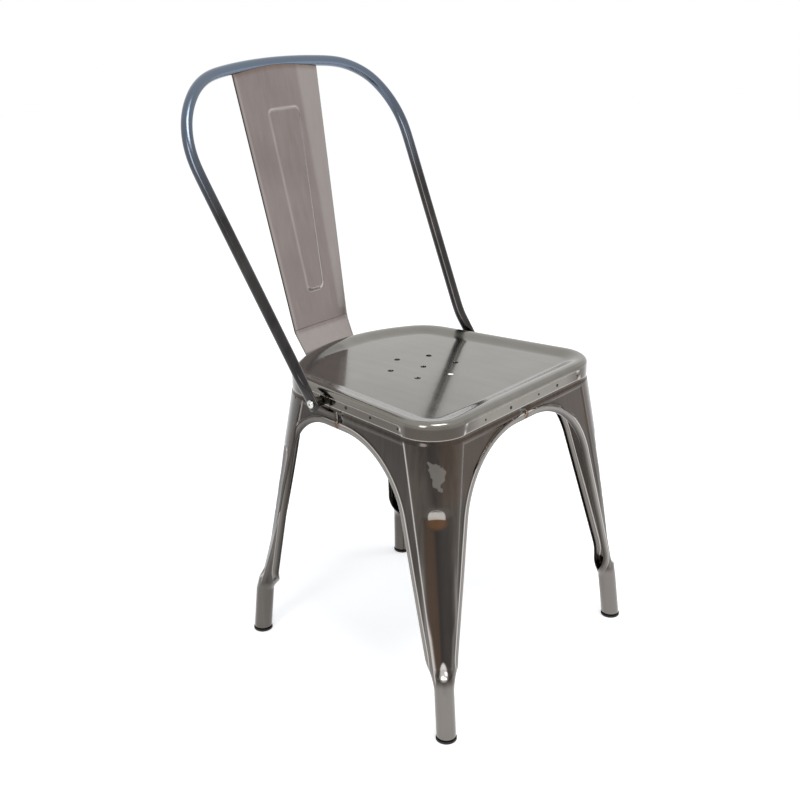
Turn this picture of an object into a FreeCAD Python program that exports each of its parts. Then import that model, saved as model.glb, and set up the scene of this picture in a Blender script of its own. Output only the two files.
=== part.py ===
import FreeCAD, Part
import Sketcher
import os
import math
from FreeCAD import Vector as V

# A stacking metal bistro chair: pressed seat pan, four pressed sheet legs with rolled feet,
# a bent tube back hoop, a flat embossed back splat, bolts, an under-seat brace and foot plugs.
# Front of the chair faces -Y, the sitter's left is +X, up is +Z, lengths in millimetres.

os.makedirs("parts", exist_ok=True)
doc = FreeCAD.newDocument("bistro_chair")

# Driving sizes
sheet = doc.addObject("Spreadsheet::Sheet", "Sizes")
SIZES = [
    ("frame_shift", 46.354, "distance from the leg centre to the centre of the whole chair"),
    ("sheet_thick", 1.2, "thickness of the pressed sheet"),
    ("fit_gap", 0.25, "clearance between neighbouring pieces"),
    ("seat_top", 435.0, "height of the seat rim"),
    ("skirt_deep", 24.0, "height of the seat skirt below the rim"),
    ("tongue_high", 12.0, "height of the leg edge hidden behind the skirt"),
    ("seat_front", 171.0, "front face of the skirt from the leg centre"),
    ("seat_rear", 188.0, "rear face of the skirt from the leg centre"),
    ("seat_side", 174.4, "side line distance from the leg centre"),
    ("seat_taper", 7.7, "side line angle in degrees"),
    ("front_round", 52.0, "corner radius at the front of the seat"),
    ("rear_round", 75.0, "corner radius at the rear of the seat"),
    ("rear_bow", 230.0, "radius of the bulging rear edge"),
    ("rim_round", 7.0, "rounding of the seat rim"),
    ("dish_inset", 15.0, "distance from the skirt to the start of the dish"),
    ("dish_slope", 12.0, "width of the sloping wall of the dish"),
    ("dish_deep", 6.0, "depth of the dish"),
    ("drain_ring", 50.4, "radius of the ring of drain holes"),
    ("drain_bore", 9.5, "diameter of the drain holes"),
    ("drain_set", 10.0, "distance of the drain ring behind the leg centre"),
    ("foot_front", 210.7, "sideways place of the front feet"),
    ("foot_rear", 169.5, "sideways place of the rear feet"),
    ("foot_reach", 199.9, "distance of the feet from the leg centre, front and rear"),
    ("foot_round", 13.6, "outer radius of the rolled foot"),
    ("foot_low", 4.0, "height of the lower edge of the rolled foot"),
    ("knee_low", 72.0, "height where the foot is fully round"),
    ("knee_high", 118.0, "height where the leg starts to roll"),
    ("front_drop", 20.2, "distance of the front arch below the skirt"),
    ("front_flat", 20.0, "half width of the flat top of the front arch"),
    ("front_sweep", 124.0, "radius of the front arch"),
    ("front_rake", 13.5, "angle of the front leg edge in degrees"),
    ("rear_drop", 25.0, "distance of the rear arch below the skirt"),
    ("rear_flat", 8.0, "half width of the flat top of the rear arch"),
    ("rear_sweep", 88.0, "radius of the rear arch"),
    ("rear_rake", 11.0, "angle of the rear leg edge in degrees"),
    ("side_drop", 29.0, "distance of the side arches below the skirt"),
    ("side_seam", 20.0, "place of the seam between front and rear leg"),
    ("side_flat_front", 15.0, "flat part of the side arch ahead of the seam"),
    ("side_flat_rear", 26.0, "flat part of the side arch behind the seam"),
    ("side_sweep_front", 120.0, "front radius of the side arch"),
    ("side_sweep_rear", 74.0, "rear radius of the side arch"),
    ("side_rake_front", 16.2, "angle of the front leg's side edge in degrees"),
    ("side_rake_rear", 9.5, "angle of the rear leg's side edge in degrees"),
    ("flute_low", 80.0, "lower end of the flute"),
    ("flute_drop", 89.0, "distance of the flute's upper end below the skirt"),
    ("flute_deep", 3.5, "depth of the flute below its chord"),
    ("tube_thick", 16.0, "diameter of the hoop tube"),
    ("tube_wall", 1.5, "wall of the hoop tube"),
    ("hoop_side", 182.5, "sideways place of the hoop bend"),
    ("hoop_back", 86.0, "place of the hoop bend behind the leg centre"),
    ("hoop_rise", 21.0, "height of the hoop bend above the seat rim"),
    ("hoop_lean", 27.2, "backward lean of the hoop in degrees"),
    ("hoop_splay", 6.9, "outward splay of the hoop legs in degrees"),
    ("hoop_leg", 298.5, "length of the straight hoop leg"),
    ("hoop_corner", 122.5, "radius of the hoop corners"),
    ("hoop_crown", 746.0, "radius of the top arc"),
    ("hoop_bow", 12.4, "backward bow of the hoop top"),
    ("bolt_side", 183.0, "sideways place of the flattened hoop end"),
    ("bolt_back", 57.5, "place of the hoop bolt behind the leg centre"),
    ("bolt_rise", 3.5, "height of the hoop bolt above the lower edge of the skirt"),
    ("bolt_thick", 6.0, "shank diameter of the hoop bolt"),
    ("flat_thick", 5.0, "thickness of the flattened hoop end"),
    ("splat_gap_back", 4.0, "distance of the splat's lower edge behind the skirt"),
    ("splat_lift", 7.0, "height of the splat's lower edge above the lower edge of the skirt"),
    ("splat_foot_back", 20.4, "reach of the bent foot of the splat"),
    ("splat_foot_high", 36.7, "height of the bent foot of the splat"),
    ("splat_crown_ahead", 8.457735, "distance of the splat's top in front of the middle of the hoop crown"),
    ("splat_crown_drop", 4.659534, "distance of the splat's top below the middle of the hoop crown"),
    ("splat_low_half", 54.0, "half width of the splat at its lower edge"),
    ("splat_bend_half", 58.7, "half width of the splat at its bend"),
    ("splat_top_half", 87.0, "half width of the splat at its top"),
    ("panel_low_half", 17.4, "half width of the raised panel, low end"),
    ("panel_top_half", 32.5, "half width of the raised panel, top end"),
    ("panel_lift", 54.3, "height of the raised panel's low end above the bend"),
    ("panel_long", 270.0, "height of the raised panel"),
    ("panel_raise", 1.6, "height of the raised panel above the splat"),
    ("brace_wide", 25.0, "width of the brace strips"),
    ("brace_thick", 3.0, "thickness of the brace strips"),
    ("brace_drop", 13.0, "distance of the lower brace strip below the skirt"),
    ("plug_high", 22.0, "height of the foot plugs"),
    ("plug_flange", 14.4, "radius of the foot plug flange"),
]
for row, (alias, value, note) in enumerate(SIZES, start=1):
    sheet.set("A%d" % row, note)
    sheet.set("B%d" % row, str(value))
    sheet.setAlias("B%d" % row, alias)
doc.recompute()


def size(alias):
    return float(sheet.get(alias))


def derive(alias, number):
    """Adds a size that follows from the others, so that objects can be bound to it."""
    row = len(SIZES) + 1
    SIZES.append((alias, number, "follows from the sizes above"))
    sheet.set("A%d" % row, "follows from the sizes above")
    sheet.set("B%d" % row, "%.6f" % number)
    sheet.setAlias("B%d" % row, alias)
    doc.recompute()


T = size("sheet_thick")
GAP = size("fit_gap")
DEG = math.pi / 180.0
derive("skirt_low", size("seat_top") - size("skirt_deep"))
derive("tongue_top", size("skirt_low") + size("tongue_high"))
for arch_name in ("front", "rear", "side"):
    derive(arch_name + "_apex", size("skirt_low") - size(arch_name + "_drop"))
derive("flute_high", size("skirt_low") - size("flute_drop"))
derive("hoop_up", size("seat_top") + size("hoop_rise"))
derive("bolt_up", size("skirt_low") + size("bolt_rise"))
derive("brace_up", size("skirt_low") - size("brace_drop"))
derive("splat_low_back", size("seat_rear") + size("splat_gap_back"))
derive("splat_low_up", size("skirt_low") + size("splat_lift"))
derive("splat_bend_back", size("splat_low_back") + size("splat_foot_back"))
derive("splat_bend_up", size("splat_low_up") + size("splat_foot_high"))
derive("panel_low_up", size("splat_bend_up") + size("panel_lift"))
derive("panel_top_up", size("panel_low_up") + size("panel_long"))


# Plan outline of the skirt and the legs: a front or rear line, a corner arc and a side line
def mix(low, high, part):
    return low + (high - low) * part


def smooth(x):
    x = min(1.0, max(0.0, x))
    return x * x * (3.0 - 2.0 * x)


FOOT_ANGLE = math.atan((size("foot_front") - size("foot_rear")) / (2.0 * size("foot_reach")))
FOOT_MID = (size("foot_front") + size("foot_rear")) / 2.0


def outline(rear, z):
    """Sizes of the plan outline of one corner at height z, with y counted away from the middle."""
    part = min(z, size("skirt_low")) / size("skirt_low")
    bend = min(1.0, max(0.0, (z - size("knee_low")) / (size("skirt_low") - size("knee_low"))))
    angle = mix(FOOT_ANGLE, size("seat_taper") * DEG, part)
    side = mix(FOOT_MID * math.cos(FOOT_ANGLE) + size("foot_round"), size("seat_side"), part)
    end_y = mix(size("foot_reach") + size("foot_round"), size("seat_rear" if rear else "seat_front"), part)
    radius = mix(size("foot_round"), size("rear_round" if rear else "front_round"), bend)
    bow = 1.0e6
    if rear:
        bow = 1.0 / mix(1.0e-6, 1.0 / size("rear_bow"), bend)
    step = (T + GAP) * smooth((z - size("skirt_low") + 7.0) / 4.0)
    side -= step
    end_y -= step
    radius -= step
    bow -= step
    if not rear:
        angle = -angle
    reach = (side - radius - (end_y - bow) * math.sin(angle)) / (bow - radius)
    turn = math.asin(reach) - angle
    centre = (math.sin(turn) * (bow - radius), end_y - bow + math.cos(turn) * (bow - radius))
    return {"angle": angle, "side": side, "end": end_y, "radius": radius, "bow": bow,
            "turn": turn, "centre": centre, "half": radius * (math.pi / 2 - angle - turn) / 2}


def place(o, run):
    """Point and outward normal at arc length run from the middle of the corner."""
    mid = (math.pi / 2 - o["angle"] + o["turn"]) / 2
    if abs(run) <= o["half"]:
        way = mid + run / o["radius"]
        n = (math.sin(way), math.cos(way))
        return (o["centre"][0] + n[0] * o["radius"], o["centre"][1] + n[1] * o["radius"]), n
    if run > 0:
        n = (math.cos(o["angle"]), math.sin(o["angle"]))
        d = run - o["half"]
        return (o["centre"][0] + n[0] * o["radius"] + n[1] * d,
                o["centre"][1] + n[1] * o["radius"] - n[0] * d), n
    way = o["turn"] + (run + o["half"]) / o["bow"]
    n = (math.sin(way), math.cos(way))
    return (n[0] * o["bow"], o["end"] - o["bow"] + n[1] * o["bow"]), n


# Edges of the arches, counted from the seam: places along the face with their heights
def arch(seam, flat, sweep, rake, apex, low, count):
    """Points (distance, height) from the seam to the height low, evenly spaced along the edge."""
    turn = (90.0 - rake) * DEG
    line_start = (seam + flat + sweep * math.sin(turn), apex - sweep * (1 - math.cos(turn)))
    line_run = (line_start[1] - low) / math.cos(rake * DEG)
    total = flat + sweep * turn + line_run
    points = []
    for i in range(count):
        s = total * (i / (count - 1.0))
        if s <= flat:
            points.append((seam + s, apex))
        elif s <= flat + sweep * turn:
            a = (s - flat) / sweep
            points.append((seam + flat + sweep * math.sin(a), apex - sweep * (1 - math.cos(a))))
        else:
            d = s - flat - sweep * turn
            points.append((line_start[0] + d * math.sin(rake * DEG), line_start[1] - d * math.cos(rake * DEG)))
    return points


def end_arch(rear, low, count):
    """Edge of the front or rear arch from the seam down to the height low."""
    tag = "rear" if rear else "front"
    return arch(GAP / 2, size(tag + "_flat"), size(tag + "_sweep"), size(tag + "_rake"), size(tag + "_apex"),
                low, count)


def seam_place(rear):
    """Distance of the side seam from the middle, counted towards this leg."""
    return size("side_seam") * (1 if rear else -1) + GAP / 2


def side_arch(rear, low, count):
    """Edge of the side arch from the seam down to the height low."""
    tag = "rear" if rear else "front"
    return arch(seam_place(rear), size("side_flat_" + tag), size("side_sweep_" + tag),
                size("side_rake_" + tag), size("side_apex"), low, count)


def run_to_end(o, x):
    """Arc length of the place on the front or rear line at the distance x from the middle."""
    return -(o["half"] + o["bow"] * (o["turn"] - math.asin(x / o["bow"])))


def run_to_side(o, y):
    """Arc length of the place on the side line at the distance y from the middle."""
    start = o["centre"][1] + math.sin(o["angle"]) * o["radius"]
    return o["half"] + (start - y) / math.cos(o["angle"])


def flute_dip(o, run, z):
    """Inward depth of the flute pressed into the corner."""
    low = size("flute_low") + 8.0
    high = size("flute_high") - 14.0
    wide = min(max(o["half"] * 1.15, 13.5), 22.0)
    beyond = max(0.0, (z - high) / 14.0, (low - z) / 8.0)
    t = math.sqrt((run / wide) ** 2 + beyond ** 2)
    if t >= 1.0:
        return 0.0
    arc_part = min(wide, o["half"])
    chord = o["radius"] * (1 - math.cos(arc_part / o["radius"]))
    return (chord + size("flute_deep")) * (1 - t * t) ** 1.5


CORNER_COLUMNS = 12
FLANGE_COLUMNS = 8
ARCH_ROWS = 22


def leg_point(rear, z, run):
    """Point of the leg's outer face at height z and arc length run."""
    o = outline(rear, z)
    (x, y), n = place(o, run)
    dip = flute_dip(o, run, z)
    return V(x - n[0] * dip, y - n[1] * dip, z)


def leg_rows(rear):
    """Rows of outer skin points of one leg, from the hidden tongue down to the foot."""
    end_edge = end_arch(rear, size("knee_high"), ARCH_ROWS)
    side_edge = side_arch(rear, size("knee_high"), ARCH_ROWS)
    rows = []
    low_mid = min(end_edge[0][1], side_edge[0][1])
    top = size("tongue_top")
    skirt = size("skirt_low")
    levels = [top, skirt + 6.0] + [skirt - drop for drop in (0.0, 3.0, 4.0, 5.0, 6.0, 7.0, 10.0, 14.0)]
    for z in levels:
        rows.append(((GAP / 2, z), (seam_place(rear), z), z))
    for i in range(ARCH_ROWS):
        q = i / (ARCH_ROWS - 1.0)
        mid = mix(low_mid, size("knee_high"), q ** 1.05)
        rows.append((end_edge[i], side_edge[i], mid))
    grid = []
    for (a, b, mid) in rows:
        span_a = run_to_end(outline(rear, a[1]), a[0])
        span_b = run_to_side(outline(rear, b[1]), b[0])
        line = []
        for k in range(-CORNER_COLUMNS // 2 - FLANGE_COLUMNS, CORNER_COLUMNS // 2 + FLANGE_COLUMNS + 1):
            far = span_a if k < 0 else span_b
            run = section_run(outline(rear, mid), abs(far), abs(k))
            z = mix(mid, a[1] if k < 0 else b[1], (run / abs(far)) ** 2)
            line.append(leg_point(rear, z, run if k > 0 else -run))
        grid.append(line)
    return grid


FOOT_ROWS = 5


def heading(way):
    return V(math.sin(way), math.cos(way), 0)


def rolled_point(o, z, run, roll):
    """Point of the section while its flanges curl, with roll from 0 (flat) to 1 (round)."""
    side = 1 if run > 0 else -1
    mid = (math.pi / 2 - o["angle"] + o["turn"]) / 2
    centre = V(o["centre"][0], o["centre"][1], z)
    away = abs(run)
    if away <= o["half"]:
        return centre + heading(mid + run / o["radius"]) * o["radius"], heading(mid + run / o["radius"])
    curl = max(1.0e-6, roll / size("foot_round"))
    start = heading(mid + side * o["half"] / o["radius"])
    hub = centre + start * (o["radius"] - 1 / curl)
    way = mid + side * (o["half"] / o["radius"] + (away - o["half"]) * curl)
    return hub + heading(way) * (1 / curl), heading(way)


def knee_rows(rear):
    """Rows from the start of the roll to the lower edge of the foot."""
    high = size("knee_high")
    low = size("knee_low")
    rake_a = size("rear_rake" if rear else "front_rake") * DEG
    rake_b = size("side_rake_rear" if rear else "side_rake_front") * DEG
    end = end_arch(rear, high, 2)[-1]
    side = side_arch(rear, high, 2)[-1]
    levels = [mix(high, low, i / 12.0) for i in range(1, 13)]
    levels += [mix(low, size("foot_low"), i / float(FOOT_ROWS)) for i in range(1, FOOT_ROWS + 1)]
    grid = []
    for z in levels:
        roll = smooth((high - z) / (high - low))
        o = outline(rear, z)
        full = size("foot_round") * math.pi - 1.5 * GAP
        far_a = mix(abs(run_to_end(o, end[0] + (high - z) * math.tan(rake_a))), full, roll)
        far_b = mix(abs(run_to_side(o, side[0] + (high - z) * math.tan(rake_b))), full, roll)
        line = []
        for k in range(-CORNER_COLUMNS // 2 - FLANGE_COLUMNS, CORNER_COLUMNS // 2 + FLANGE_COLUMNS + 1):
            run = section_run(o, far_a if k < 0 else far_b, abs(k))
            p, n = rolled_point(o, z, run if k > 0 else -run, roll)
            line.append(p - n * flute_dip(o, run, z))
        grid.append(line)
    return grid


def section_run(o, far, away):
    """Arc length of the column number away, counted from the middle of the corner."""
    corner_end = min(o["half"], far * 0.6)
    if away <= CORNER_COLUMNS // 2:
        return corner_end * away / (CORNER_COLUMNS / 2.0)
    return mix(corner_end, far, (away - CORNER_COLUMNS // 2) / float(FLANGE_COLUMNS))


def skin_normals(grid, turn):
    """Outward unit normals of a grid of points by central differences."""
    rows = len(grid)
    cols = len(grid[0])
    normals = []
    for i in range(rows):
        line = []
        for j in range(cols):
            across = grid[i][min(j + 1, cols - 1)] - grid[i][max(j - 1, 0)]
            down = grid[min(i + 1, rows - 1)][j] - grid[max(i - 1, 0)][j]
            n = across.cross(down)
            n.normalize()
            line.append(n * turn)
        normals.append(line)
    return normals


def clamped(count):
    """Knots and multiplicities of a cubic curve with the given number of poles."""
    spans = count - 3
    return [float(i) for i in range(spans + 1)], [4] + [1] * (spans - 1) + [4]


def skin(grid):
    """Cubic surface with the grid as its poles, so it never swings outside them."""
    knots_u, mults_u = clamped(len(grid))
    knots_v, mults_v = clamped(len(grid[0]))
    surface = Part.BSplineSurface()
    surface.buildFromPolesMultsKnots(grid, mults_u, mults_v, knots_u, knots_v, False, False, 3, 3)
    return surface


def strip(one, two):
    """Ruled surface between two rows of poles."""
    knots, mults = clamped(len(one))
    surface = Part.BSplineSurface()
    surface.buildFromPolesMultsKnots([one, two], [2, 2], mults, [0.0, 1.0], knots, False, False, 1, 3)
    return surface


def sheet_solid(outer, inner):
    """Closed thin solid between two grids of points."""
    faces = [skin(outer).toShape(), skin(inner).toShape()]
    faces.append(strip(outer[0], inner[0]).toShape())
    faces.append(strip(outer[-1], inner[-1]).toShape())
    faces.append(strip([r[0] for r in outer], [r[0] for r in inner]).toShape())
    faces.append(strip([r[-1] for r in outer], [r[-1] for r in inner]).toShape())
    sewn = Part.Compound(faces)
    sewn.sewShape(0.001)
    shell = sewn.Shells[0] if sewn.Shells else Part.Shell(sewn.Faces)
    solid = Part.Solid(shell)
    if solid.Volume < 0:
        solid.reverse()
    return solid


def leg_shape(rear, left):
    grid = leg_rows(rear) + knee_rows(rear)
    sx = 1 if left else -1
    sy = 1 if rear else -1
    outer = [[V(p.x * sx, p.y * sy, p.z) for p in line] for line in grid]
    turn = 1 if sx * sy > 0 else -1
    normals = skin_normals(outer, turn)
    inner = [[p - n * T for p, n in zip(line, ns)] for line, ns in zip(outer, normals)]
    return sheet_solid(outer, inner)


# Parts made from sketches and plain solids, with every size bound to the sheet
NODES = []


def value(expression):
    return float(sheet.evalExpression(expression.replace("Sizes.", "")))


def finish(obj, label):
    """Gives the object its name and moves it from the leg centre to the centre of the chair."""
    obj.Label = label
    obj.Placement = FreeCAD.Placement(V(0, -size("frame_shift"), 0), FreeCAD.Rotation())
    if obj.TypeId != "Part::Feature":
        obj.setExpression("Placement.Base.y", "-Sizes.frame_shift")
    NODES.append(obj)
    return obj


def shaped(label, shape):
    obj = doc.addObject("Part::Feature", label)
    obj.Shape = shape
    return finish(obj, label)


def origin_plane(body, role):
    for item in body.Origin.OriginFeatures:
        if item.Role == role:
            return item
    raise ValueError(role)


def new_sketch(body, role, name, offset=None):
    sketch = body.newObject("Sketcher::SketchObject", name)
    sketch.AttachmentSupport = [(origin_plane(body, role), "")]
    sketch.MapMode = "FlatFace"
    if offset:
        sketch.setExpression("AttachmentOffset.Base.z", offset)
    return sketch


def polygon(body, role, name, corners, offset=None):
    """Closed sketch with straight sides; each corner is a pair of expressions."""
    sketch = new_sketch(body, role, name, offset)
    places = [V(value(a), value(b), 0) for a, b in corners]
    count = len(places)
    for i in range(count):
        sketch.addGeometry(Part.LineSegment(places[i], places[(i + 1) % count]), False)
    for i in range(count):
        sketch.addConstraint(Sketcher.Constraint("Coincident", i, 2, (i + 1) % count, 1))
    for i, (a, b) in enumerate(corners):
        for kind, expression, number in (("DistanceX", a, places[i].x), ("DistanceY", b, places[i].y)):
            index = sketch.addConstraint(Sketcher.Constraint(kind, -1, 1, i, 1, number))
            sketch.setExpression("Constraints[%d]" % index, expression)
    return sketch


def seat_sketch(body, name, inset, height):
    """Sketch of the seat outline, inset by an expression and lifted to a height."""
    sketch = new_sketch(body, "XY_Plane", name, height)
    d = value(inset)
    front = outline_at(False, d)
    rear = outline_at(True, d)
    pieces = []
    f0, f1 = front["line_end"], front["side_end"]
    r0, r1 = rear["line_end"], rear["side_end"]
    front_way = math.pi / 2 - front["angle"]
    rear_way = math.pi / 2 - rear["angle"]
    pieces.append(Part.LineSegment(V(-f0[0], -f0[1], 0), V(f0[0], -f0[1], 0)))
    pieces.append(arc_of(V(front["centre"][0], -front["centre"][1], 0), front["radius"], -math.pi / 2,
                         -front["angle"]))
    pieces.append(Part.LineSegment(V(f1[0], -f1[1], 0), V(r1[0], r1[1], 0)))
    pieces.append(arc_of(V(rear["centre"][0], rear["centre"][1], 0), rear["radius"], rear["angle"],
                         math.pi / 2 - rear["turn"]))
    pieces.append(arc_of(V(0, rear["end"] - rear["bow"], 0), rear["bow"], math.pi / 2 - rear["turn"],
                         math.pi / 2 + rear["turn"]))
    pieces.append(arc_of(V(-rear["centre"][0], rear["centre"][1], 0), rear["radius"], math.pi / 2 + rear["turn"],
                         math.pi - rear["angle"]))
    pieces.append(Part.LineSegment(V(-r1[0], r1[1], 0), V(-f1[0], -f1[1], 0)))
    pieces.append(arc_of(V(-front["centre"][0], -front["centre"][1], 0), front["radius"],
                         math.pi + front["angle"], 1.5 * math.pi))
    for piece in pieces:
        sketch.addGeometry(piece, False)
    for k in range(8):
        sketch.addConstraint(Sketcher.Constraint("Tangent", k, 2, (k + 1) % 8, 1))
    sketch.addConstraint(Sketcher.Constraint("Horizontal", 0))
    sketch.addConstraint(Sketcher.Constraint("PointOnObject", 4, 3, -2))

    def fix(constraint, expression):
        index = sketch.addConstraint(constraint)
        sketch.setExpression("Constraints[%d]" % index, expression)

    fix(Sketcher.Constraint("DistanceY", 0, 1, -1, 1, size("seat_front") - d), "Sizes.seat_front - (%s)" % inset)
    fix(Sketcher.Constraint("DistanceY", 4, 3, -1, 1, size("rear_bow") - size("seat_rear")),
        "Sizes.rear_bow - Sizes.seat_rear")
    fix(Sketcher.Constraint("Radius", 4, size("rear_bow") - d), "Sizes.rear_bow - (%s)" % inset)
    for index, alias in ((1, "front_round"), (7, "front_round"), (3, "rear_round"), (5, "rear_round")):
        fix(Sketcher.Constraint("Radius", index, size(alias) - d), "Sizes.%s - (%s)" % (alias, inset))
    for index in (2, 6):
        fix(Sketcher.Constraint("Distance", -1, 1, index, size("seat_side") - d),
            "Sizes.seat_side - (%s)" % inset)
    across = ("((Sizes.seat_side - Sizes.front_round) + (Sizes.seat_front - Sizes.front_round)"
              " * sin(Sizes.seat_taper)) / cos(Sizes.seat_taper)")
    fix(Sketcher.Constraint("DistanceX", -1, 1, 1, 3, front["centre"][0]), across)
    fix(Sketcher.Constraint("DistanceX", 7, 3, -1, 1, front["centre"][0]), across)
    return sketch


def outline_at(rear, inset):
    """Outline of one seat corner, inset from the skirt."""
    o = dict(outline(rear, size("skirt_low") - 8.0))
    angle = size("seat_taper") * DEG * (1 if rear else -1)
    end = size("seat_rear" if rear else "seat_front") - inset
    radius = size("rear_round" if rear else "front_round") - inset
    side = size("seat_side") - inset
    bow = (size("rear_bow") if rear else 1.0e6) - inset
    reach = (side - radius - (end - bow) * math.sin(angle)) / (bow - radius)
    turn = math.asin(reach) - angle
    centre = (math.sin(turn) * (bow - radius), end - bow + math.cos(turn) * (bow - radius))
    o.update(angle=angle, side=side, end=end, radius=radius, bow=bow, turn=turn, centre=centre)
    o["line_end"] = (centre[0] + math.sin(turn) * radius, centre[1] + math.cos(turn) * radius)
    o["side_end"] = (centre[0] + math.cos(angle) * radius, centre[1] + math.sin(angle) * radius)
    return o


def arc_of(centre, radius, start, end):
    return Part.ArcOfCircle(Part.Circle(centre, V(0, 0, 1), radius), start, end)


def rim_fillet(body, radius, height):
    """Rounds the upper outer edges of a padded outline."""
    top = [("Edge%d" % (i + 1)) for i, e in enumerate(body.Shape.Edges)
           if abs(e.BoundBox.ZMin - height) < 0.01 and abs(e.BoundBox.ZMax - height) < 0.01]
    base = body.Tip
    fillet = body.newObject("PartDesign::Fillet", body.Name + "_rim")
    fillet.Base = (base, top)
    fillet.setExpression("Radius", radius)
    doc.recompute()
    return fillet


def pad(body, sketch, length, symmetric=False):
    item = body.newObject("PartDesign::Pad", sketch.Name + "_pad")
    item.Profile = sketch
    item.setExpression("Length", length)
    if symmetric:
        item.Midplane = True
    doc.recompute()
    return item


def new_body(name):
    return doc.addObject("PartDesign::Body", name)


# Seat pan: an outer pressed form, minus the form of its hollow underside
def seat_form(name, inset, low, high, rounding, dish_inset, dish_height):
    body = new_body(name)
    sketch = seat_sketch(body, name + "_outline", inset, low)
    doc.recompute()
    pad(body, sketch, "(%s) - (%s)" % (high, low))
    rim_fillet(body, rounding, value(high))
    upper = seat_sketch(body, name + "_dish_rim", dish_inset, high)
    lower = seat_sketch(body, name + "_dish_floor", "(%s) + Sizes.dish_slope" % dish_inset, dish_height)
    doc.recompute()
    dish = body.newObject("PartDesign::SubtractiveLoft", name + "_dish")
    dish.Profile = upper
    dish.Sections = [lower]
    dish.Ruled = True
    doc.recompute()
    return body


derive("wall_shift", T * math.tan(math.atan(size("dish_deep") / size("dish_slope")) / 2))
outer = seat_form("seat_outer", "0", "Sizes.skirt_low", "Sizes.seat_top", "Sizes.rim_round",
                  "Sizes.dish_inset", "Sizes.seat_top - Sizes.dish_deep")
holes = new_sketch(outer, "XY_Plane", "drain_holes", "Sizes.seat_top")
spots = [("0", "Sizes.drain_set")]
for k in range(6):
    spots.append(("Sizes.drain_ring * cos(%d)" % (90 + 60 * k),
                  "Sizes.drain_set + Sizes.drain_ring * sin(%d)" % (90 + 60 * k)))
for i, (a, b) in enumerate(spots):
    holes.addGeometry(Part.Circle(V(value(a), value(b), 0), V(0, 0, 1), size("drain_bore") / 2), False)
    for kind, expression in (("DistanceX", a), ("DistanceY", b)):
        index = holes.addConstraint(Sketcher.Constraint(kind, -1, 1, i, 3, value(expression)))
        holes.setExpression("Constraints[%d]" % index, expression)
    index = holes.addConstraint(Sketcher.Constraint("Diameter", i, size("drain_bore")))
    holes.setExpression("Constraints[%d]" % index, "Sizes.drain_bore")
doc.recompute()
before = outer.Shape.Volume
drain = outer.newObject("PartDesign::Pocket", "drain_pocket")
drain.Profile = holes
drain.setExpression("Length", "Sizes.dish_deep + 3 * Sizes.sheet_thick")
doc.recompute()
if not outer.Shape.Volume < before:
    drain.Reversed = True
    doc.recompute()
inner = seat_form("seat_inner", "Sizes.sheet_thick", "Sizes.skirt_low - 1", "Sizes.seat_top - Sizes.sheet_thick",
                  "Sizes.rim_round - Sizes.sheet_thick", "Sizes.dish_inset - Sizes.wall_shift",
                  "Sizes.seat_top - Sizes.dish_deep - Sizes.sheet_thick")
shell_cut = doc.addObject("Part::Cut", "seat_shell")
shell_cut.Base = outer
shell_cut.Tool = inner
doc.recompute()


def primitive(kind, name, placement=None, **sizes):
    """Plain solid with each size given as an expression; placement holds x, y and z expressions."""
    obj = doc.addObject(kind, name)
    for prop, expression in sizes.items():
        obj.setExpression(prop, expression)
    for axis, expression in zip("xyz", placement or ()):
        obj.setExpression("Placement.Base." + axis, expression)
    return obj


def turned(obj, axis, degrees):
    obj.Placement = FreeCAD.Placement(obj.Placement.Base, FreeCAD.Rotation(V(*axis), degrees))
    return obj


def cut(name, base, tool):
    obj = doc.addObject("Part::Cut", name)
    obj.Base = base
    obj.Tool = tool
    doc.recompute()
    return obj


def fuse(name, *parts):
    obj = doc.addObject("Part::MultiFuse", name)
    obj.Shapes = list(parts)
    doc.recompute()
    return obj


def cross_hole(name):
    """Long cylinder across the chair at the hoop bolts."""
    hole = primitive("Part::Cylinder", name, ("-1.2 * Sizes.bolt_side", "Sizes.bolt_back", "Sizes.bolt_up"),
                     Radius="Sizes.bolt_thick / 2 + Sizes.fit_gap", Height="2.4 * Sizes.bolt_side")
    return turned(hole, (0, 1, 0), 90)


finish(cut("seat_drilled", shell_cut, cross_hole("seat_cross_hole")), "seat_pan")

# Legs: one pressed sheet each, from behind the skirt down to the rolled foot
drill = Part.makeCylinder(size("bolt_thick") / 2 + GAP, 2.4 * size("bolt_side"),
                          V(-1.2 * size("bolt_side"), size("bolt_back"), size("bolt_up")), V(1, 0, 0))
for rear, left, label in ((False, False, "leg_front_right"), (False, True, "leg_front_left"),
                          (True, False, "leg_rear_right"), (True, True, "leg_rear_left")):
    leg = leg_shape(rear, left)
    if rear:
        leg = leg.cut(drill).Solids[0]
    shaped(label, leg)

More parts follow.
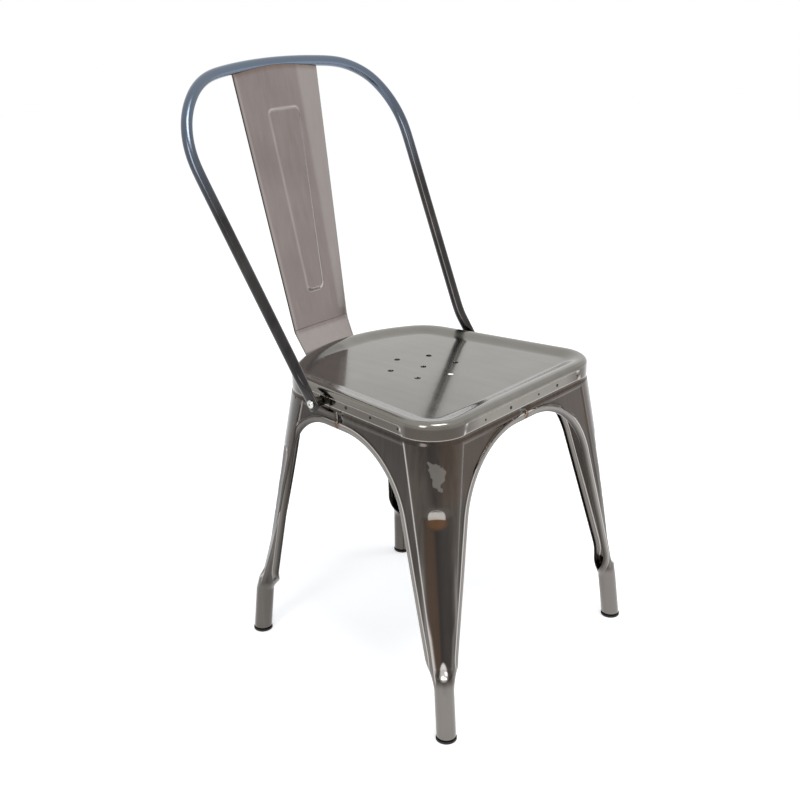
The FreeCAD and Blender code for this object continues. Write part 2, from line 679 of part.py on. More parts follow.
# Foot plugs: a flat flange on the floor and a spigot that follows the lean of the foot
for rear, left, label in ((False, False, "foot_plug_front_right"), (False, True, "foot_plug_front_left"),
                          (True, False, "foot_plug_rear_right"), (True, True, "foot_plug_rear_left")):
    tag = "rear" if rear else "front"
    sx = "" if left else "-"
    sy = "" if rear else "-"
    low = outline(rear, size("foot_low"))["centre"]
    high = outline(rear, size("knee_low"))["centre"]
    if left:
        derive("plug_x_" + tag, low[0])
        derive("plug_y_" + tag, low[1])
    spot = (sx + "Sizes.plug_x_" + tag, sy + "Sizes.plug_y_" + tag)
    base = primitive("Part::Cone", label + "_base", spot + ("0",), Radius1="Sizes.plug_flange - 1",
                     Radius2="Sizes.plug_flange", Height="1")
    rim = primitive("Part::Cylinder", label + "_rim", spot + ("1",), Radius="Sizes.plug_flange",
                    Height="Sizes.foot_low - Sizes.fit_gap - 1")
    spigot = primitive("Part::Cylinder", label + "_spigot", spot + ("Sizes.foot_low - 2",),
                       Radius="Sizes.foot_round - Sizes.sheet_thick - 2 * Sizes.fit_gap", Height="Sizes.plug_high - 2")
    lean = V((high[0] - low[0]) * (1 if left else -1), (high[1] - low[1]) * (1 if rear else -1),
             size("knee_low") - size("foot_low"))
    spigot.Placement = FreeCAD.Placement(V(0, 0, 0), FreeCAD.Rotation(V(0, 0, 1), lean))
    finish(fuse(label + "_whole", base, rim, spigot), label)

# Back hoop: a bent tube with flattened ends
def hoop_plane():
    """Half of the hoop's middle line in its own plane, from the bend up to the crown."""
    splay = size("hoop_splay") * DEG
    side = size("hoop_side")
    r = size("hoop_corner")
    end = (side + size("hoop_leg") * math.sin(splay), size("hoop_leg") * math.cos(splay))
    centre = (end[0] - r * math.cos(splay), end[1] + r * math.sin(splay))
    crown = size("hoop_crown")
    low = centre[1] - math.sqrt((crown - r) ** 2 - centre[0] ** 2)
    meet = math.atan2(centre[1] - low, centre[0])
    points = [(side + size("hoop_leg") * math.sin(splay) * i / 9.0,
               size("hoop_leg") * math.cos(splay) * i / 9.0) for i in range(10)]
    for i in range(1, 11):
        a = mix(-splay, meet, i / 10.0)
        points.append((centre[0] + r * math.cos(a), centre[1] + r * math.sin(a)))
    for i in range(1, 7):
        a = mix(meet, math.pi / 2, i / 6.0)
        points.append((crown * math.cos(a), low + crown * math.sin(a)))
    return points


def hoop_line():
    """Middle line of the whole hoop from the right bolt to the left bolt."""
    lean = size("hoop_lean") * DEG
    half = hoop_plane()
    top = half[-1][1]
    right = []
    for x, s in half:
        bow = size("hoop_bow") * (s / top) ** 2 * max(0.0, 1 - (x / size("hoop_side")) ** 2)
        right.append(V(-x, size("hoop_back") + s * math.sin(lean) + bow * math.cos(lean),
                       size("hoop_up") + s * math.cos(lean) - bow * math.sin(lean)))
    bolt = V(-size("bolt_side"), size("bolt_back"), size("bolt_up"))
    way = (bolt - right[0])
    way.normalize()
    shares = (0.6875, 0.4375, 0.0, -0.5, -0.9375, -1.5, -2.25)
    start = [bolt + way * (share * size("tube_thick")) for share in shares]
    line = start + right
    mirrored = [V(-p.x, p.y, p.z) for p in reversed(line[:-1])]
    return line + mirrored, len(start)


ROUND_COLUMNS = 16


def tube(line, radii):
    """Closed solid round a line; radii holds the half thickness across and along X for each point."""
    rings = []
    normal = V(1, 0, 0)
    for i, p in enumerate(line):
        way = line[min(i + 1, len(line) - 1)] - line[max(i - 1, 0)]
        way.normalize()
        normal = normal - way * normal.dot(way)
        normal.normalize()
        across = way.cross(normal)
        thin, wide = radii[i]
        rings.append([p + normal * (thin * math.cos(2 * math.pi * k / ROUND_COLUMNS))
                      + across * (wide * math.sin(2 * math.pi * k / ROUND_COLUMNS)) for k in range(ROUND_COLUMNS)])
    knots_u, mults_u = clamped(len(rings))
    surface = Part.BSplineSurface()
    surface.buildFromPolesMultsKnots(rings, mults_u, [1] * (ROUND_COLUMNS + 1), knots_u,
                                     [float(k) for k in range(ROUND_COLUMNS + 1)], False, True, 3, 3)
    faces = [surface.toShape()]
    for u in surface.bounds()[:2]:
        faces.append(Part.Face(Part.Wire(surface.uIso(u).toShape())))
    sewn = Part.Compound(faces)
    sewn.sewShape(0.001)
    solid = Part.Solid(sewn.Shells[0])
    if solid.Volume < 0:
        solid.reverse()
    return solid


SWELL = 1.0 / ((2 + math.cos(2 * math.pi / ROUND_COLUMNS)) / 3.0)


def hoop_solid(shrink):
    line, start = hoop_line()
    full = size("tube_thick") / 2 - shrink
    flat = size("flat_thick") / 2
    radii = []
    for i in range(len(line)):
        away = min(i, len(line) - 1 - i)
        steps = [(flat, 0.125), (flat, 0.475), (flat, 0.625), (flat, 0.625),
                 (0.25, 0.6), (0.4125, 0.55), (0.4875, 0.50625)]
        if away < start:
            thin, wide = steps[away][0], steps[away][1] * size("tube_thick")
            thin = thin if away < 4 else thin * size("tube_thick")
        else:
            thin, wide = full + shrink, full + shrink
        radii.append(((thin - shrink) * SWELL, (wide - shrink) * SWELL))
    if shrink > 0:
        line = line[start + 1:-start - 1]
        radii = radii[start + 1:-start - 1]
    return tube(line, radii)


hoop = hoop_solid(0.0)
hollow = hoop_solid(size("tube_wall"))
hoop_shape = hoop.cut(hollow).cut(drill).Solids[0]
shaped("back_hoop", hoop_shape)

# Back splat: side profile of a bent sheet, trimmed by its front outline, with a raised panel
crown = max(hoop_line()[0], key=lambda p: p.z)
derive("splat_top_back", crown.y - size("splat_crown_ahead"))
derive("splat_top_up", crown.z - size("splat_crown_drop"))
rise = math.atan2(size("splat_top_back") - size("splat_bend_back"), size("splat_top_up") - size("splat_bend_up"))
tail = math.atan2(size("splat_bend_back") - size("splat_low_back"), size("splat_bend_up") - size("splat_low_up"))
derive("splat_rise", rise / DEG)
derive("splat_tail", tail / DEG)
side_body = new_body("splat_side")
thick = "Sizes.sheet_thick"
half_turn = "(Sizes.splat_rise + Sizes.splat_tail) / 2"
profile = [
    ("Sizes.splat_low_back", "Sizes.splat_low_up"),
    ("Sizes.splat_bend_back", "Sizes.splat_bend_up"),
    ("Sizes.splat_top_back", "Sizes.splat_top_up"),
    ("Sizes.splat_top_back + %s * cos(Sizes.splat_rise)" % thick,
     "Sizes.splat_top_up - %s * sin(Sizes.splat_rise)" % thick),
    ("Sizes.splat_bend_back + %s * cos(%s) / cos((Sizes.splat_tail - Sizes.splat_rise) / 2)" % (thick, half_turn),
     "Sizes.splat_bend_up - %s * sin(%s) / cos((Sizes.splat_tail - Sizes.splat_rise) / 2)" % (thick, half_turn)),
    ("Sizes.splat_low_back + %s * cos(Sizes.splat_tail)" % thick,
     "Sizes.splat_low_up - %s * sin(Sizes.splat_tail)" % thick),
]
side_sketch = polygon(side_body, "YZ_Plane", "splat_profile", profile)
pad(side_body, side_sketch, "2 * Sizes.splat_top_half + 20", True)
bends = []
for i, edge in enumerate(side_body.Shape.Edges):
    box = edge.BoundBox
    if box.XLength > 100 and abs(box.ZMin - size("splat_bend_up")) < 3:
        bends.append("Edge%d" % (i + 1))
base_pad = side_body.Tip
bend = side_body.newObject("PartDesign::Fillet", "splat_bend")
bend.Base = (base_pad, bends)
bend.setExpression("Radius", "Sizes.tube_thick * 2")
doc.recompute()
front_body = new_body("splat_front")
face = [("-Sizes.splat_low_half", "Sizes.splat_low_up - 10"), ("Sizes.splat_low_half", "Sizes.splat_low_up - 10"),
        ("Sizes.splat_bend_half", "Sizes.splat_bend_up"), ("Sizes.splat_top_half", "Sizes.splat_top_up + 10"),
        ("-Sizes.splat_top_half", "Sizes.splat_top_up + 10"), ("-Sizes.splat_bend_half", "Sizes.splat_bend_up")]
front_sketch = polygon(front_body, "XZ_Plane", "splat_outline", face)
pad(front_body, front_sketch, "2 * Sizes.splat_top_back + 100", True)
blank = doc.addObject("Part::Common", "splat_blank")
blank.Base = side_body
blank.Tool = front_body
doc.recompute()


def panel(name, grow, depth):
    """Raised panel as a tapered block standing on the splat's own plane."""
    body = new_body(name)
    low = "(Sizes.panel_low_up - Sizes.splat_bend_up) / cos(Sizes.splat_rise)"
    high = "(Sizes.panel_top_up - Sizes.splat_bend_up) / cos(Sizes.splat_rise)"
    rings = []
    for step, (inset, lift) in enumerate((("0", "0"), ("2.4", depth))):
        g = "(%s) - (%s)" % (grow, inset)
        corners = [("-Sizes.panel_low_half - (%s)" % g, "%s - (%s)" % (low, g)),
                   ("Sizes.panel_low_half + (%s)" % g, "%s - (%s)" % (low, g)),
                   ("Sizes.panel_top_half + (%s)" % g, "%s + (%s)" % (high, g)),
                   ("-Sizes.panel_top_half - (%s)" % g, "%s + (%s)" % (high, g))]
        rings.append(polygon(body, "XZ_Plane", "%s_ring%d" % (name, step), corners, lift))
    doc.recompute()
    loft = body.newObject("PartDesign::AdditiveLoft", name + "_loft")
    loft.Profile = rings[0]
    loft.Sections = [rings[1]]
    loft.Ruled = True
    body.Placement = FreeCAD.Placement(V(0, 0, 0), FreeCAD.Rotation(V(1, 0, 0), -size("splat_rise")))
    body.setExpression("Placement.Base.y", "Sizes.splat_bend_back")
    body.setExpression("Placement.Base.z", "Sizes.splat_bend_up")
    doc.recompute()
    return body


raised = panel("panel_front", "1.2", "Sizes.panel_raise")
sunk = panel("panel_back", "0.6", "Sizes.panel_raise")
sunk.setExpression("Placement.Base.y", "Sizes.splat_bend_back + Sizes.sheet_thick * cos(Sizes.splat_rise)")
sunk.setExpression("Placement.Base.z", "Sizes.splat_bend_up - Sizes.sheet_thick * sin(Sizes.splat_rise)")
doc.recompute()
pressed = cut("splat_pressed", fuse("splat_raised", blank, raised), sunk)


def seat_groove():
    """Solid a little thicker than the hoop tube, which trims the upper edge of the splat."""
    line, start = hoop_line()
    line = line[start + 3:-start - 3]
    r = (size("tube_thick") / 2 + GAP) * SWELL
    return tube(line, [(r, r)] * len(line))


groove = doc.addObject("Part::Feature", "hoop_groove")
groove.Shape = seat_groove()
finish(cut("splat_trimmed", pressed, groove), "back_splat")

# Hoop fixings on each side: bolt, spacer, washer and nut
taper = size("seat_taper") * DEG
derive("skirt_face", (size("seat_side") - size("bolt_back") * math.sin(taper)) / math.cos(taper))
tilt = "tan(Sizes.seat_taper)"
for sign, side in ((-1, "right"), (1, "left")):
    mark = "-" if sign < 0 else ""
    spot = ("Sizes.bolt_back", "Sizes.bolt_up")

    def along(expression):
        return (mark + "(" + expression + ")",) + spot

    def aim(obj):
        return turned(obj, (0, 1, 0), 90 * sign)

    outer_face = "Sizes.bolt_side + Sizes.flat_thick / 2 + Sizes.fit_gap"
    inner_face = "Sizes.skirt_face - 2 * Sizes.sheet_thick - 2 * Sizes.fit_gap - 8 * %s" % tilt
    head = aim(primitive("Part::Cylinder", "bolt_head_" + side, along(outer_face), Radius="Sizes.bolt_thick * 0.95",
                         Height="1.6"))
    dome = aim(primitive("Part::Cone", "bolt_dome_" + side, along(outer_face + " + 1.6"),
                         Radius1="Sizes.bolt_thick * 0.95", Radius2="Sizes.bolt_thick * 0.5", Height="1.8"))
    shank_length = outer_face + " - (" + inner_face + ") + 9"
    shank = aim(primitive("Part::Cylinder", "bolt_shank_" + side, along(inner_face + " - 9"),
                          Radius="Sizes.bolt_thick / 2", Height=shank_length))
    socket = aim(primitive("Part::Prism", "bolt_socket_" + side, along(outer_face + " + 1.2"),
                           Circumradius="Sizes.bolt_thick * 0.36", Height="4"))
    socket.Polygon = 6
    finish(cut("bolt_cut_" + side, fuse("bolt_" + side, head, dome, shank), socket), "hoop_bolt_" + side)
    start = "Sizes.skirt_face + Sizes.fit_gap + 7 * %s" % tilt
    length = "Sizes.bolt_side - Sizes.flat_thick / 2 - Sizes.fit_gap - (%s)" % start
    tube_out = aim(primitive("Part::Cylinder", "spacer_out_" + side, along(start), Radius="7", Height=length))
    tube_in = aim(primitive("Part::Cylinder", "spacer_in_" + side, along(start + " - 1"),
                            Radius="Sizes.bolt_thick / 2 + Sizes.fit_gap", Height=length + " + 2"))
    finish(cut("spacer_" + side, tube_out, tube_in), "hoop_spacer_" + side)
    washer_out = aim(primitive("Part::Cylinder", "washer_out_" + side, along(inner_face + " - 1"), Radius="7",
                               Height="1"))
    washer_in = aim(primitive("Part::Cylinder", "washer_in_" + side, along(inner_face + " - 2"),
                              Radius="Sizes.bolt_thick / 2 + Sizes.fit_gap", Height="3"))
    finish(cut("washer_" + side, washer_out, washer_in), "hoop_washer_" + side)
    nut_out = aim(primitive("Part::Prism", "nut_out_" + side, along(inner_face + " - 6.2"),
                            Circumradius="Sizes.bolt_thick * 0.96", Height="5"))
    nut_out.Polygon = 6
    nut_in = aim(primitive("Part::Cylinder", "nut_in_" + side, along(inner_face + " - 7"),
                           Radius="Sizes.bolt_thick / 2 + 0.1", Height="7"))
    finish(cut("nut_" + side, nut_out, nut_in), "hoop_nut_" + side)

# Under-seat brace: two crossed strips between opposite legs, pinned where they cross


def brace_end(rear, z):
    """Place inside the rounded leg corner where a strip ends."""
    o = outline(rear, z)
    (x, y), n = place(o, 0.0)
    wide = size("brace_wide") / 2
    r = o["radius"] - T
    inset = T + GAP + r - math.sqrt(r * r - wide * wide) + 0.05
    return x - n[0] * inset, y - n[1] * inset, n


ends = {}
for rear in (False, True):
    x, y, n = brace_end(rear, size("brace_up"))
    ends[rear] = (x, y)
    derive("brace_x_" + ("rear" if rear else "front"), x)
    derive("brace_y_" + ("rear" if rear else "front"), y)
fx, fy = ends[False]
bx, by = ends[True]
cross_y = -fy + (by + fy) * fx / (fx + bx)
derive("brace_cross", cross_y)
derive("brace_length", math.hypot(fx + bx, fy + by))
derive("brace_angle", math.atan2(by + fy, fx + bx) / DEG)
for name, mark, lift in (("brace_lower", 1, "0"), ("brace_upper", -1, "Sizes.brace_thick + Sizes.fit_gap")):
    strip_box = primitive("Part::Box", name + "_strip", None, Length="Sizes.brace_length", Width="Sizes.brace_wide",
                          Height="Sizes.brace_thick")
    way = math.radians(size("brace_angle")) if mark > 0 else math.pi - math.radians(size("brace_angle"))
    front_x = -fx if mark > 0 else fx
    wide = size("brace_wide") / 2
    strip_box.Placement = FreeCAD.Placement(V(front_x + wide * math.sin(way), -fy - wide * math.cos(way), 0),
                                            FreeCAD.Rotation(V(0, 0, 1), math.degrees(way)))
    strip_box.setExpression("Placement.Base.z", "Sizes.brace_up + " + lift)
    pin_hole = primitive("Part::Cylinder", name + "_hole", ("0", "Sizes.brace_cross", "Sizes.brace_up - 5"),
                         Radius="3 + Sizes.fit_gap", Height="20")
    finish(cut(name + "_cut", strip_box, pin_hole), name)
pin = primitive("Part::Cylinder", "pin_shank", ("0", "Sizes.brace_cross", "Sizes.brace_up - Sizes.fit_gap"),
                Radius="3", Height="2 * Sizes.brace_thick + 3 * Sizes.fit_gap")
pin_low = primitive("Part::Cone", "pin_low", ("0", "Sizes.brace_cross", "Sizes.brace_up - Sizes.fit_gap - 2"),
                    Radius1="3.5", Radius2="5.5", Height="2")
pin_high = primitive("Part::Cone", "pin_high",
                     ("0", "Sizes.brace_cross", "Sizes.brace_up + 2 * Sizes.brace_thick + 2 * Sizes.fit_gap"),
                     Radius1="5.5", Radius2="3.5", Height="2")
finish(fuse("pin_whole", pin, pin_low, pin_high), "brace_rivet")
doc.recompute()

# Every object and shape is looked at before anything is written
for obj in doc.Objects:
    if "Invalid" in obj.State or "Error" in obj.State:
        raise RuntimeError("failed: " + obj.Name)
for obj in NODES:
    if obj.Shape.isNull() or not obj.Shape.isValid():
        raise RuntimeError("bad shape: " + obj.Label)
    box = obj.Shape.BoundBox
    print(obj.Label, "solids", len(obj.Shape.Solids), "volume", round(obj.Shape.Volume),
          [round(v, 1) for v in (box.XMin, box.XMax, box.YMin, box.YMax, box.ZMin, box.ZMax)])
for obj in NODES:
    obj.Shape.exportStep("parts/" + obj.Label + ".step")
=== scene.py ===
# %% [markdown]
# # A metal bistro chair
#
# This lesson dresses a stacking bistro chair of raw steel under clear lacquer. The CAD model gives the
# frame, and the pieces here follow the same sizes. Only the looks are made here, and nothing in the frame
# is moved.

# %% Start
import bpy
import bmesh
import math
from mathutils import Matrix, Vector


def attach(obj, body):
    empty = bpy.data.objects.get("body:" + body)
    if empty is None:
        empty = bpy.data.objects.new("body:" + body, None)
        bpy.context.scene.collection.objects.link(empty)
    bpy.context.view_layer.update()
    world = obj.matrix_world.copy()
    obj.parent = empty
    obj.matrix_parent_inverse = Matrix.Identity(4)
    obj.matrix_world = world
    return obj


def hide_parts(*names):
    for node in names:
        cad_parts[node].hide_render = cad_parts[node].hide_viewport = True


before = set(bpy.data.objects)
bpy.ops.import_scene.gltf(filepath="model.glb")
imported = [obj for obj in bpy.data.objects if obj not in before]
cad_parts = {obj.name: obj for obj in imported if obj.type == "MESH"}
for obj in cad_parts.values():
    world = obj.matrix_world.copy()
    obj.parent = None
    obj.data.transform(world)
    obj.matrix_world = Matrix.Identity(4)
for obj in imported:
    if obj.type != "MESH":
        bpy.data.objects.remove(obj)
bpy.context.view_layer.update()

# %% [markdown]
# The driving sizes of the chair come next. They are in millimetres and degrees, counted from the middle
# between the legs: x to the sitter's left, y to the back and z up from the floor.

# %% Driving sizes
SHIFT = 46.354
SHEET, GAP = 1.2, 0.25
SEAT_TOP, SKIRT_LOW, DISH_DEEP = 435.0, 411.0, 6.0
SEAT_FRONT, SEAT_REAR, SEAT_SIDE = 171.0, 188.0, 174.4
FRONT_ROUND, REAR_ROUND, REAR_BOW = 52.0, 75.0, 230.0
TAPER = math.radians(7.7)
FOOT_FRONT, FOOT_REAR, FOOT_REACH = 210.7, 169.5, 199.9
FOOT_ROUND, FOOT_LOW = 13.6, 4.0
KNEE_LOW, KNEE_HIGH = 72.0, 118.0
FOOT_ANGLE = math.atan((FOOT_FRONT - FOOT_REAR) / (2 * FOOT_REACH))
STRAIGHT = 1e6
print("seat rim at", SEAT_TOP, "mm, feet", round(2 * FOOT_ROUND, 1), "mm across")

# %% [markdown]
# Small helpers save repetition. One turns a place in millimetres into metres in the chair's frame. One
# turns a colour that was given, written as sRGB hex, into the linear colour that shaders use. One adds a
# node with its settings and links, so that each material and each Geometry Nodes tree reads as a short list.

# %% Helpers
def metres(p):
    return Vector((p[0] / 1000, (p[1] - SHIFT) / 1000, p[2] / 1000))


def linear(code):
    parts = [int(code[i:i + 2], 16) / 255 for i in (0, 2, 4)]
    return [c / 12.92 if c <= 0.04045 else ((c + 0.055) / 1.055) ** 2.4 for c in parts] + [1.0]


def add(tree, kind, links=(), at=(), **settings):
    """Adds a node. Links are (node or output, input) pairs, at holds (input, value) pairs, and settings are
    properties or named inputs of the node."""
    node = tree.nodes.new(kind)
    for name, value in settings.items():
        if hasattr(node, name):
            setattr(node, name, value)
        else:
            node.inputs[name.replace("_", " ")].default_value = value
    for socket, value in at:
        node.inputs[socket].default_value = value
    for source, socket in links:
        tree.links.new(source.outputs[0] if hasattr(source, "outputs") else source, node.inputs[socket])
    return node


def new_object(name, data):
    item = bpy.data.objects.new(name, data)
    bpy.context.scene.collection.objects.link(item)
    return item


def store(mesh, label, values):
    """Keeps a vector on each point of a mesh."""
    layer = mesh.attributes.new(label, "FLOAT_VECTOR", "POINT")
    for item, value in zip(layer.data, values):
        item.vector = value


def mix(low, high, part):
    return low + (high - low) * part


def smooth(x):
    """Eases from 0 at x = 0 to 1 at x = 1."""
    x = min(1.0, max(0.0, x))
    return x * x * (3 - 2 * x)


def hump(value, middle, width):
    """A soft bump that is 1 at the middle and fades over the width."""
    return math.exp(-((value - middle) / width) ** 2)


print("mid grey 808080 is", round(linear("808080")[0], 3), "in linear light")

# %% [markdown]
# The plan of the chair is one closed outline: a straight front, tight front corners, sides that draw in
# towards the back, wide rear corners and a gently bulging rear edge. The skirt of the seat and the four
# legs all follow it. Low down, each corner shrinks to the round foot. A function gives this outline at any
# height.

# %% The outline
def corner_outline(angle, side, end, radius, bow, rear):
    """Corner arc between the front or rear line and the side line; y counts away from the middle."""
    angle = angle if rear else -angle
    turn = math.asin((side - radius - (end - bow) * math.sin(angle)) / (bow - radius)) - angle
    centre = (math.sin(turn) * (bow - radius), end - bow + math.cos(turn) * (bow - radius))
    return {"angle": angle, "end": end, "radius": radius, "bow": bow, "turn": turn, "centre": centre,
            "half": radius * (math.pi / 2 - angle - turn) / 2, "mid": (math.pi / 2 - angle + turn) / 2}


def outline(rear, z):
    """Outline at a height; from 404 mm up it slips inside the skirt by the sheet and the clearance."""
    part = min(z, SKIRT_LOW) / SKIRT_LOW
    bend = min(1.0, max(0.0, (z - KNEE_LOW) / (SKIRT_LOW - KNEE_LOW)))
    step = (SHEET + GAP) * smooth((z - 404) / 4)
    foot_side = (FOOT_FRONT + FOOT_REAR) / 2 * math.cos(FOOT_ANGLE) + FOOT_ROUND
    side = mix(foot_side, SEAT_SIDE, part) - step
    end = mix(FOOT_REACH + FOOT_ROUND, SEAT_REAR if rear else SEAT_FRONT, part) - step
    radius = mix(FOOT_ROUND, REAR_ROUND if rear else FRONT_ROUND, bend) - step
    bow = (1 / mix(1 / STRAIGHT, 1 / REAR_BOW, bend) if rear else STRAIGHT) - step
    return corner_outline(mix(FOOT_ANGLE, TAPER, part), side, end, radius, bow, rear)


def on_arc(hub, radius, way):
    """Point of an arc and its outward direction; way is the angle from the y axis towards x."""
    n = (math.sin(way), math.cos(way))
    return (hub[0] + n[0] * radius, hub[1] + n[1] * radius), n


def place(o, run):
    """Point and outward direction at the arc length run from the middle of the corner."""
    if abs(run) <= o["half"]:
        return on_arc(o["centre"], o["radius"], o["mid"] + run / o["radius"])
    if run < 0:
        return on_arc((0, o["end"] - o["bow"]), o["bow"], o["turn"] + (run + o["half"]) / o["bow"])
    (x, y), n = on_arc(o["centre"], o["radius"], math.pi / 2 - o["angle"])
    past = run - o["half"]
    return (x + n[1] * past, y - n[0] * past), n


def pushed(spot, depth, z):
    """A point with its direction, pushed in by a depth."""
    (x, y), n = spot
    return x - n[0] * depth, y - n[1] * depth, z


print("corner radius at the seat", outline(False, 400)["radius"], "at the foot", outline(False, 50)["radius"])

# %% [markdown]
# Each leg is one pressed sheet, bent round the corner of the seat. Its two flanges end in an arch: flat
# under the seat, then a quarter turn, then a long straight edge down to the knee. The arch is described by
# its distance from the edge, because the rolled bead and the pressed panel beside it follow that edge.

# %% The arches
SIDE_SEAM = 20.0
# Of each face: place of the seam, half of the flat top, radius, lean of the straight edge, height of the top
ARCHES = {
    ("front", False): (GAP / 2, 20, 124, 13.5, SKIRT_LOW - 20.2),
    ("side", False): (GAP / 2 - SIDE_SEAM, 15, 120, 16.2, SKIRT_LOW - 29),
    ("front", True): (GAP / 2, 8, 88, 11.0, SKIRT_LOW - 25),
    ("side", True): (GAP / 2 + SIDE_SEAM, 26, 74, 9.5, SKIRT_LOW - 29),
}


def arch_edge(which, rear, count):
    """Even places (along, height) on an arch edge with their outward direction, from seam to knee."""
    seam, flat, sweep, rake, apex = ARCHES[(which, rear)]
    turn = math.pi / 2 - math.radians(rake)
    line = (apex - sweep * (1 - math.cos(turn)) - KNEE_HIGH) / math.sin(turn)
    edge = []
    for i in range(count):
        s = (flat + sweep * turn + line) * i / (count - 1)
        a = min(max((s - flat) / sweep, 0.0), turn)
        beyond = max(0.0, s - flat - sweep * turn)
        along = seam + min(s, flat) + sweep * math.sin(a) + beyond * math.cos(a)
        z = apex - sweep * (1 - math.cos(a)) - beyond * math.sin(a)
        edge.append((along, z, math.sin(a), math.cos(a)))
    return edge


def arch_distance(which, rear, along, z):
    """Distance of a place on the face from the arch edge."""
    seam, flat, sweep, rake, apex = ARCHES[(which, rear)]
    rake = math.radians(rake)
    s, h = along - seam - flat, z - apex + sweep
    if s <= 0:
        return h - sweep
    if math.atan2(s, h) <= math.pi / 2 - rake:
        return math.hypot(s, h) - sweep
    return s * math.cos(rake) + h * math.sin(rake) - sweep


def run_at(which, o, along):
    """Arc length of the place on a face at the distance along from the middle."""
    if which == "front":
        return -(o["half"] + o["bow"] * (o["turn"] - math.asin(along / o["bow"])))
    return o["half"] + (o["centre"][1] + math.sin(o["angle"]) * o["radius"] - along) / math.cos(o["angle"])


print("the front arch is", round(arch_edge("front", False, 9)[-1][0] * 2), "mm wide at the knees")

# %% [markdown]
# The press leaves three forms on a leg. A flute runs down the corner, closed by a short round ramp at its
# top and bottom. A shallow panel is sunk between the corner and the edge. The edge itself is rolled inwards
# into a bead. Flute and panel are depths below the plain outline, so one function each is enough, and the
# bead is a short table: distance from the edge, depth below the face and painted sheen, a highlight drawn
# into the colour. A depth of None follows the panel beside it.

# %% Pressed forms
FLUTE_TOP, FLUTE_LOW, FLUTE_DEEP = 310, 103, 3.6
PANEL_DEEP, PANEL_SET, PANEL_TOP, PANEL_FADE = 1.3, 10, 401.5, 205
BEAD_ROUND = 5.0
BEAD = [(10.9, None, 0.3), (10.0, 0.25, 1.0), (9.2, 0.05, 0.45), (8.0, 0, 0.2), (6.5, 0, 0.32), (5.0, 0, 0.3)]
for degrees in range(15, 91, 15):
    from_edge = BEAD_ROUND * (1 - math.sin(math.radians(degrees)))
    turned_in = BEAD_ROUND * (1 - math.cos(math.radians(degrees)))
    BEAD.append((from_edge, turned_in, 0.24 * from_edge / BEAD_ROUND))


def flute_half(o):
    """Half width of the flute, which narrows with the corner."""
    return min(max(o["half"] * 1.12, 13.0), 20.5)


def flute_depth(o, run, z):
    wide = flute_half(o)
    t = math.hypot(run / wide, max(0.0, (z - FLUTE_TOP) / 13, (FLUTE_LOW - z) / 12))
    if t >= 1:
        return 0.0
    chord = o["radius"] * (1 - math.cos(min(wide, o["half"]) / o["radius"]))
    return (chord + FLUTE_DEEP) * (1 - t * t) * smooth((1 - t) / 0.12)


def panel_depth(o, which, rear, along, run, z):
    from_arch = arch_distance(which, rear, along, z) - PANEL_SET
    inside = min(from_arch, abs(run) - o["half"] - 1.0, PANEL_TOP - z)
    return PANEL_DEEP * smooth(inside / 2.4) * smooth((z - PANEL_FADE) / 60)


print("flute", round(2 * flute_half(outline(False, 250))), "mm wide, bead turned in by", BEAD[-1][1], "mm")

# %% [markdown]
# Every point also gets three marks, kept as a vertex colour for the finish: red for painted shade, green
# for painted highlights and blue for brown, which is heat colour beside the welds and a brown tone round the
# flutes. They are worked out from the same sizes as the forms, so that the painted shade lies in the hollows
# and the painted highlights on the creases and the bead.

# %% Marks on a leg
def face_marks(o, run, z, hollow):
    """Painted shade, painted highlight and brown values of a point; run is positive on the side face."""
    away = abs(run)
    wide = flute_half(o)
    in_flute = smooth((wide - away) / 3) * smooth((312 - z) / 6) * smooth((z - 100) / 8)
    above = smooth((z - 322) / 12)
    foot = smooth((92 - z) / 14)
    bowl = smooth((1 - math.hypot(run / 9, (z - 101) / 12)) / 0.3)
    # Painted shade in the sunk panel, in a stripe above the flute and in the flute itself, and a darker
    # stroke low on the middle of the corner
    dark = 0.45 * hollow / PANEL_DEEP
    dark += above * 0.5 * hump(run, 3, 6)
    dark += in_flute * (0.7 + 0.3 * hump(run, 1, 7))
    dark += 0.75 * hump(run, 0, 3) * smooth((z - 68) / 8) * smooth((92 - z) / 4)
    # Painted highlights on the lips of the flute, on the crease beside the corner, strong on the side face
    # and faint on the front, and at the flute's round bottom; the foot is made a little lighter
    lip = hump(away, wide + 3.5, 3.2) * smooth((270 - z) / 60) * (1 - foot)
    crease = hump(away, o["half"] + 0.4, 1.3) * smooth((406 - z) / 5) * (1 - foot)
    crease *= 0.8 if run > 0 else 0.12
    burnt = 0.65 * smooth((1 - math.hypot(run / 19, (z - 303) / 14)) / 0.5)
    brown = in_flute * 0.22 * smooth((run - 2) / 5) + above * 0.12 * smooth((-run - 4) / 8)
    painted_highlight = max(0.16 * lip, crease, 0.85 * bowl, 0.24 * foot)
    return min(1.0, dark * (1 - bowl)), min(1.0, painted_highlight), max(burnt, brown)


def bead_marks(from_edge, sheen, from_seam=99.0):
    """Marks of a point on the bead: painted shade on its inside, its painted sheen, and heat beside the weld
    at the seam.
    """
    return 0.5 * smooth((2.5 - from_edge) / 2), sheen, 0.75 * smooth((7 - from_seam) / 3) * (from_edge > 2)


print("marks in the flute", [round(v, 2) for v in face_marks(outline(False, 250), 0, 250, 0)])

# %% [markdown]
# The leg's skin is a net of rows and columns. The rows start at the tongue behind the skirt, fan out along
# the arches and end at the floor. Beyond the panel, the last columns run square to the arch edge, so that
# the bead keeps its shape all the way round. The sheet's thickness is added afterwards by a Solidify
# modifier.

# %% Columns and rows
CORNER_STEPS = [0, 0.1, 0.2, 0.3, 0.4, 0.5, 0.6, 0.7, 0.78, 0.85, 0.91, 0.96, 1.0]
CREASE_STEPS = [0.6, 1.2, 1.9, 2.7, 3.6, 5.0]
PANEL_COLUMNS = 9
ARCH_ROWS = 112
STRIP = 11.8
TONGUE_ROWS = [423, 415, 411, 409, 408] + [407.4 - 0.6 * i for i in range(8)]
NET_TOP = 399


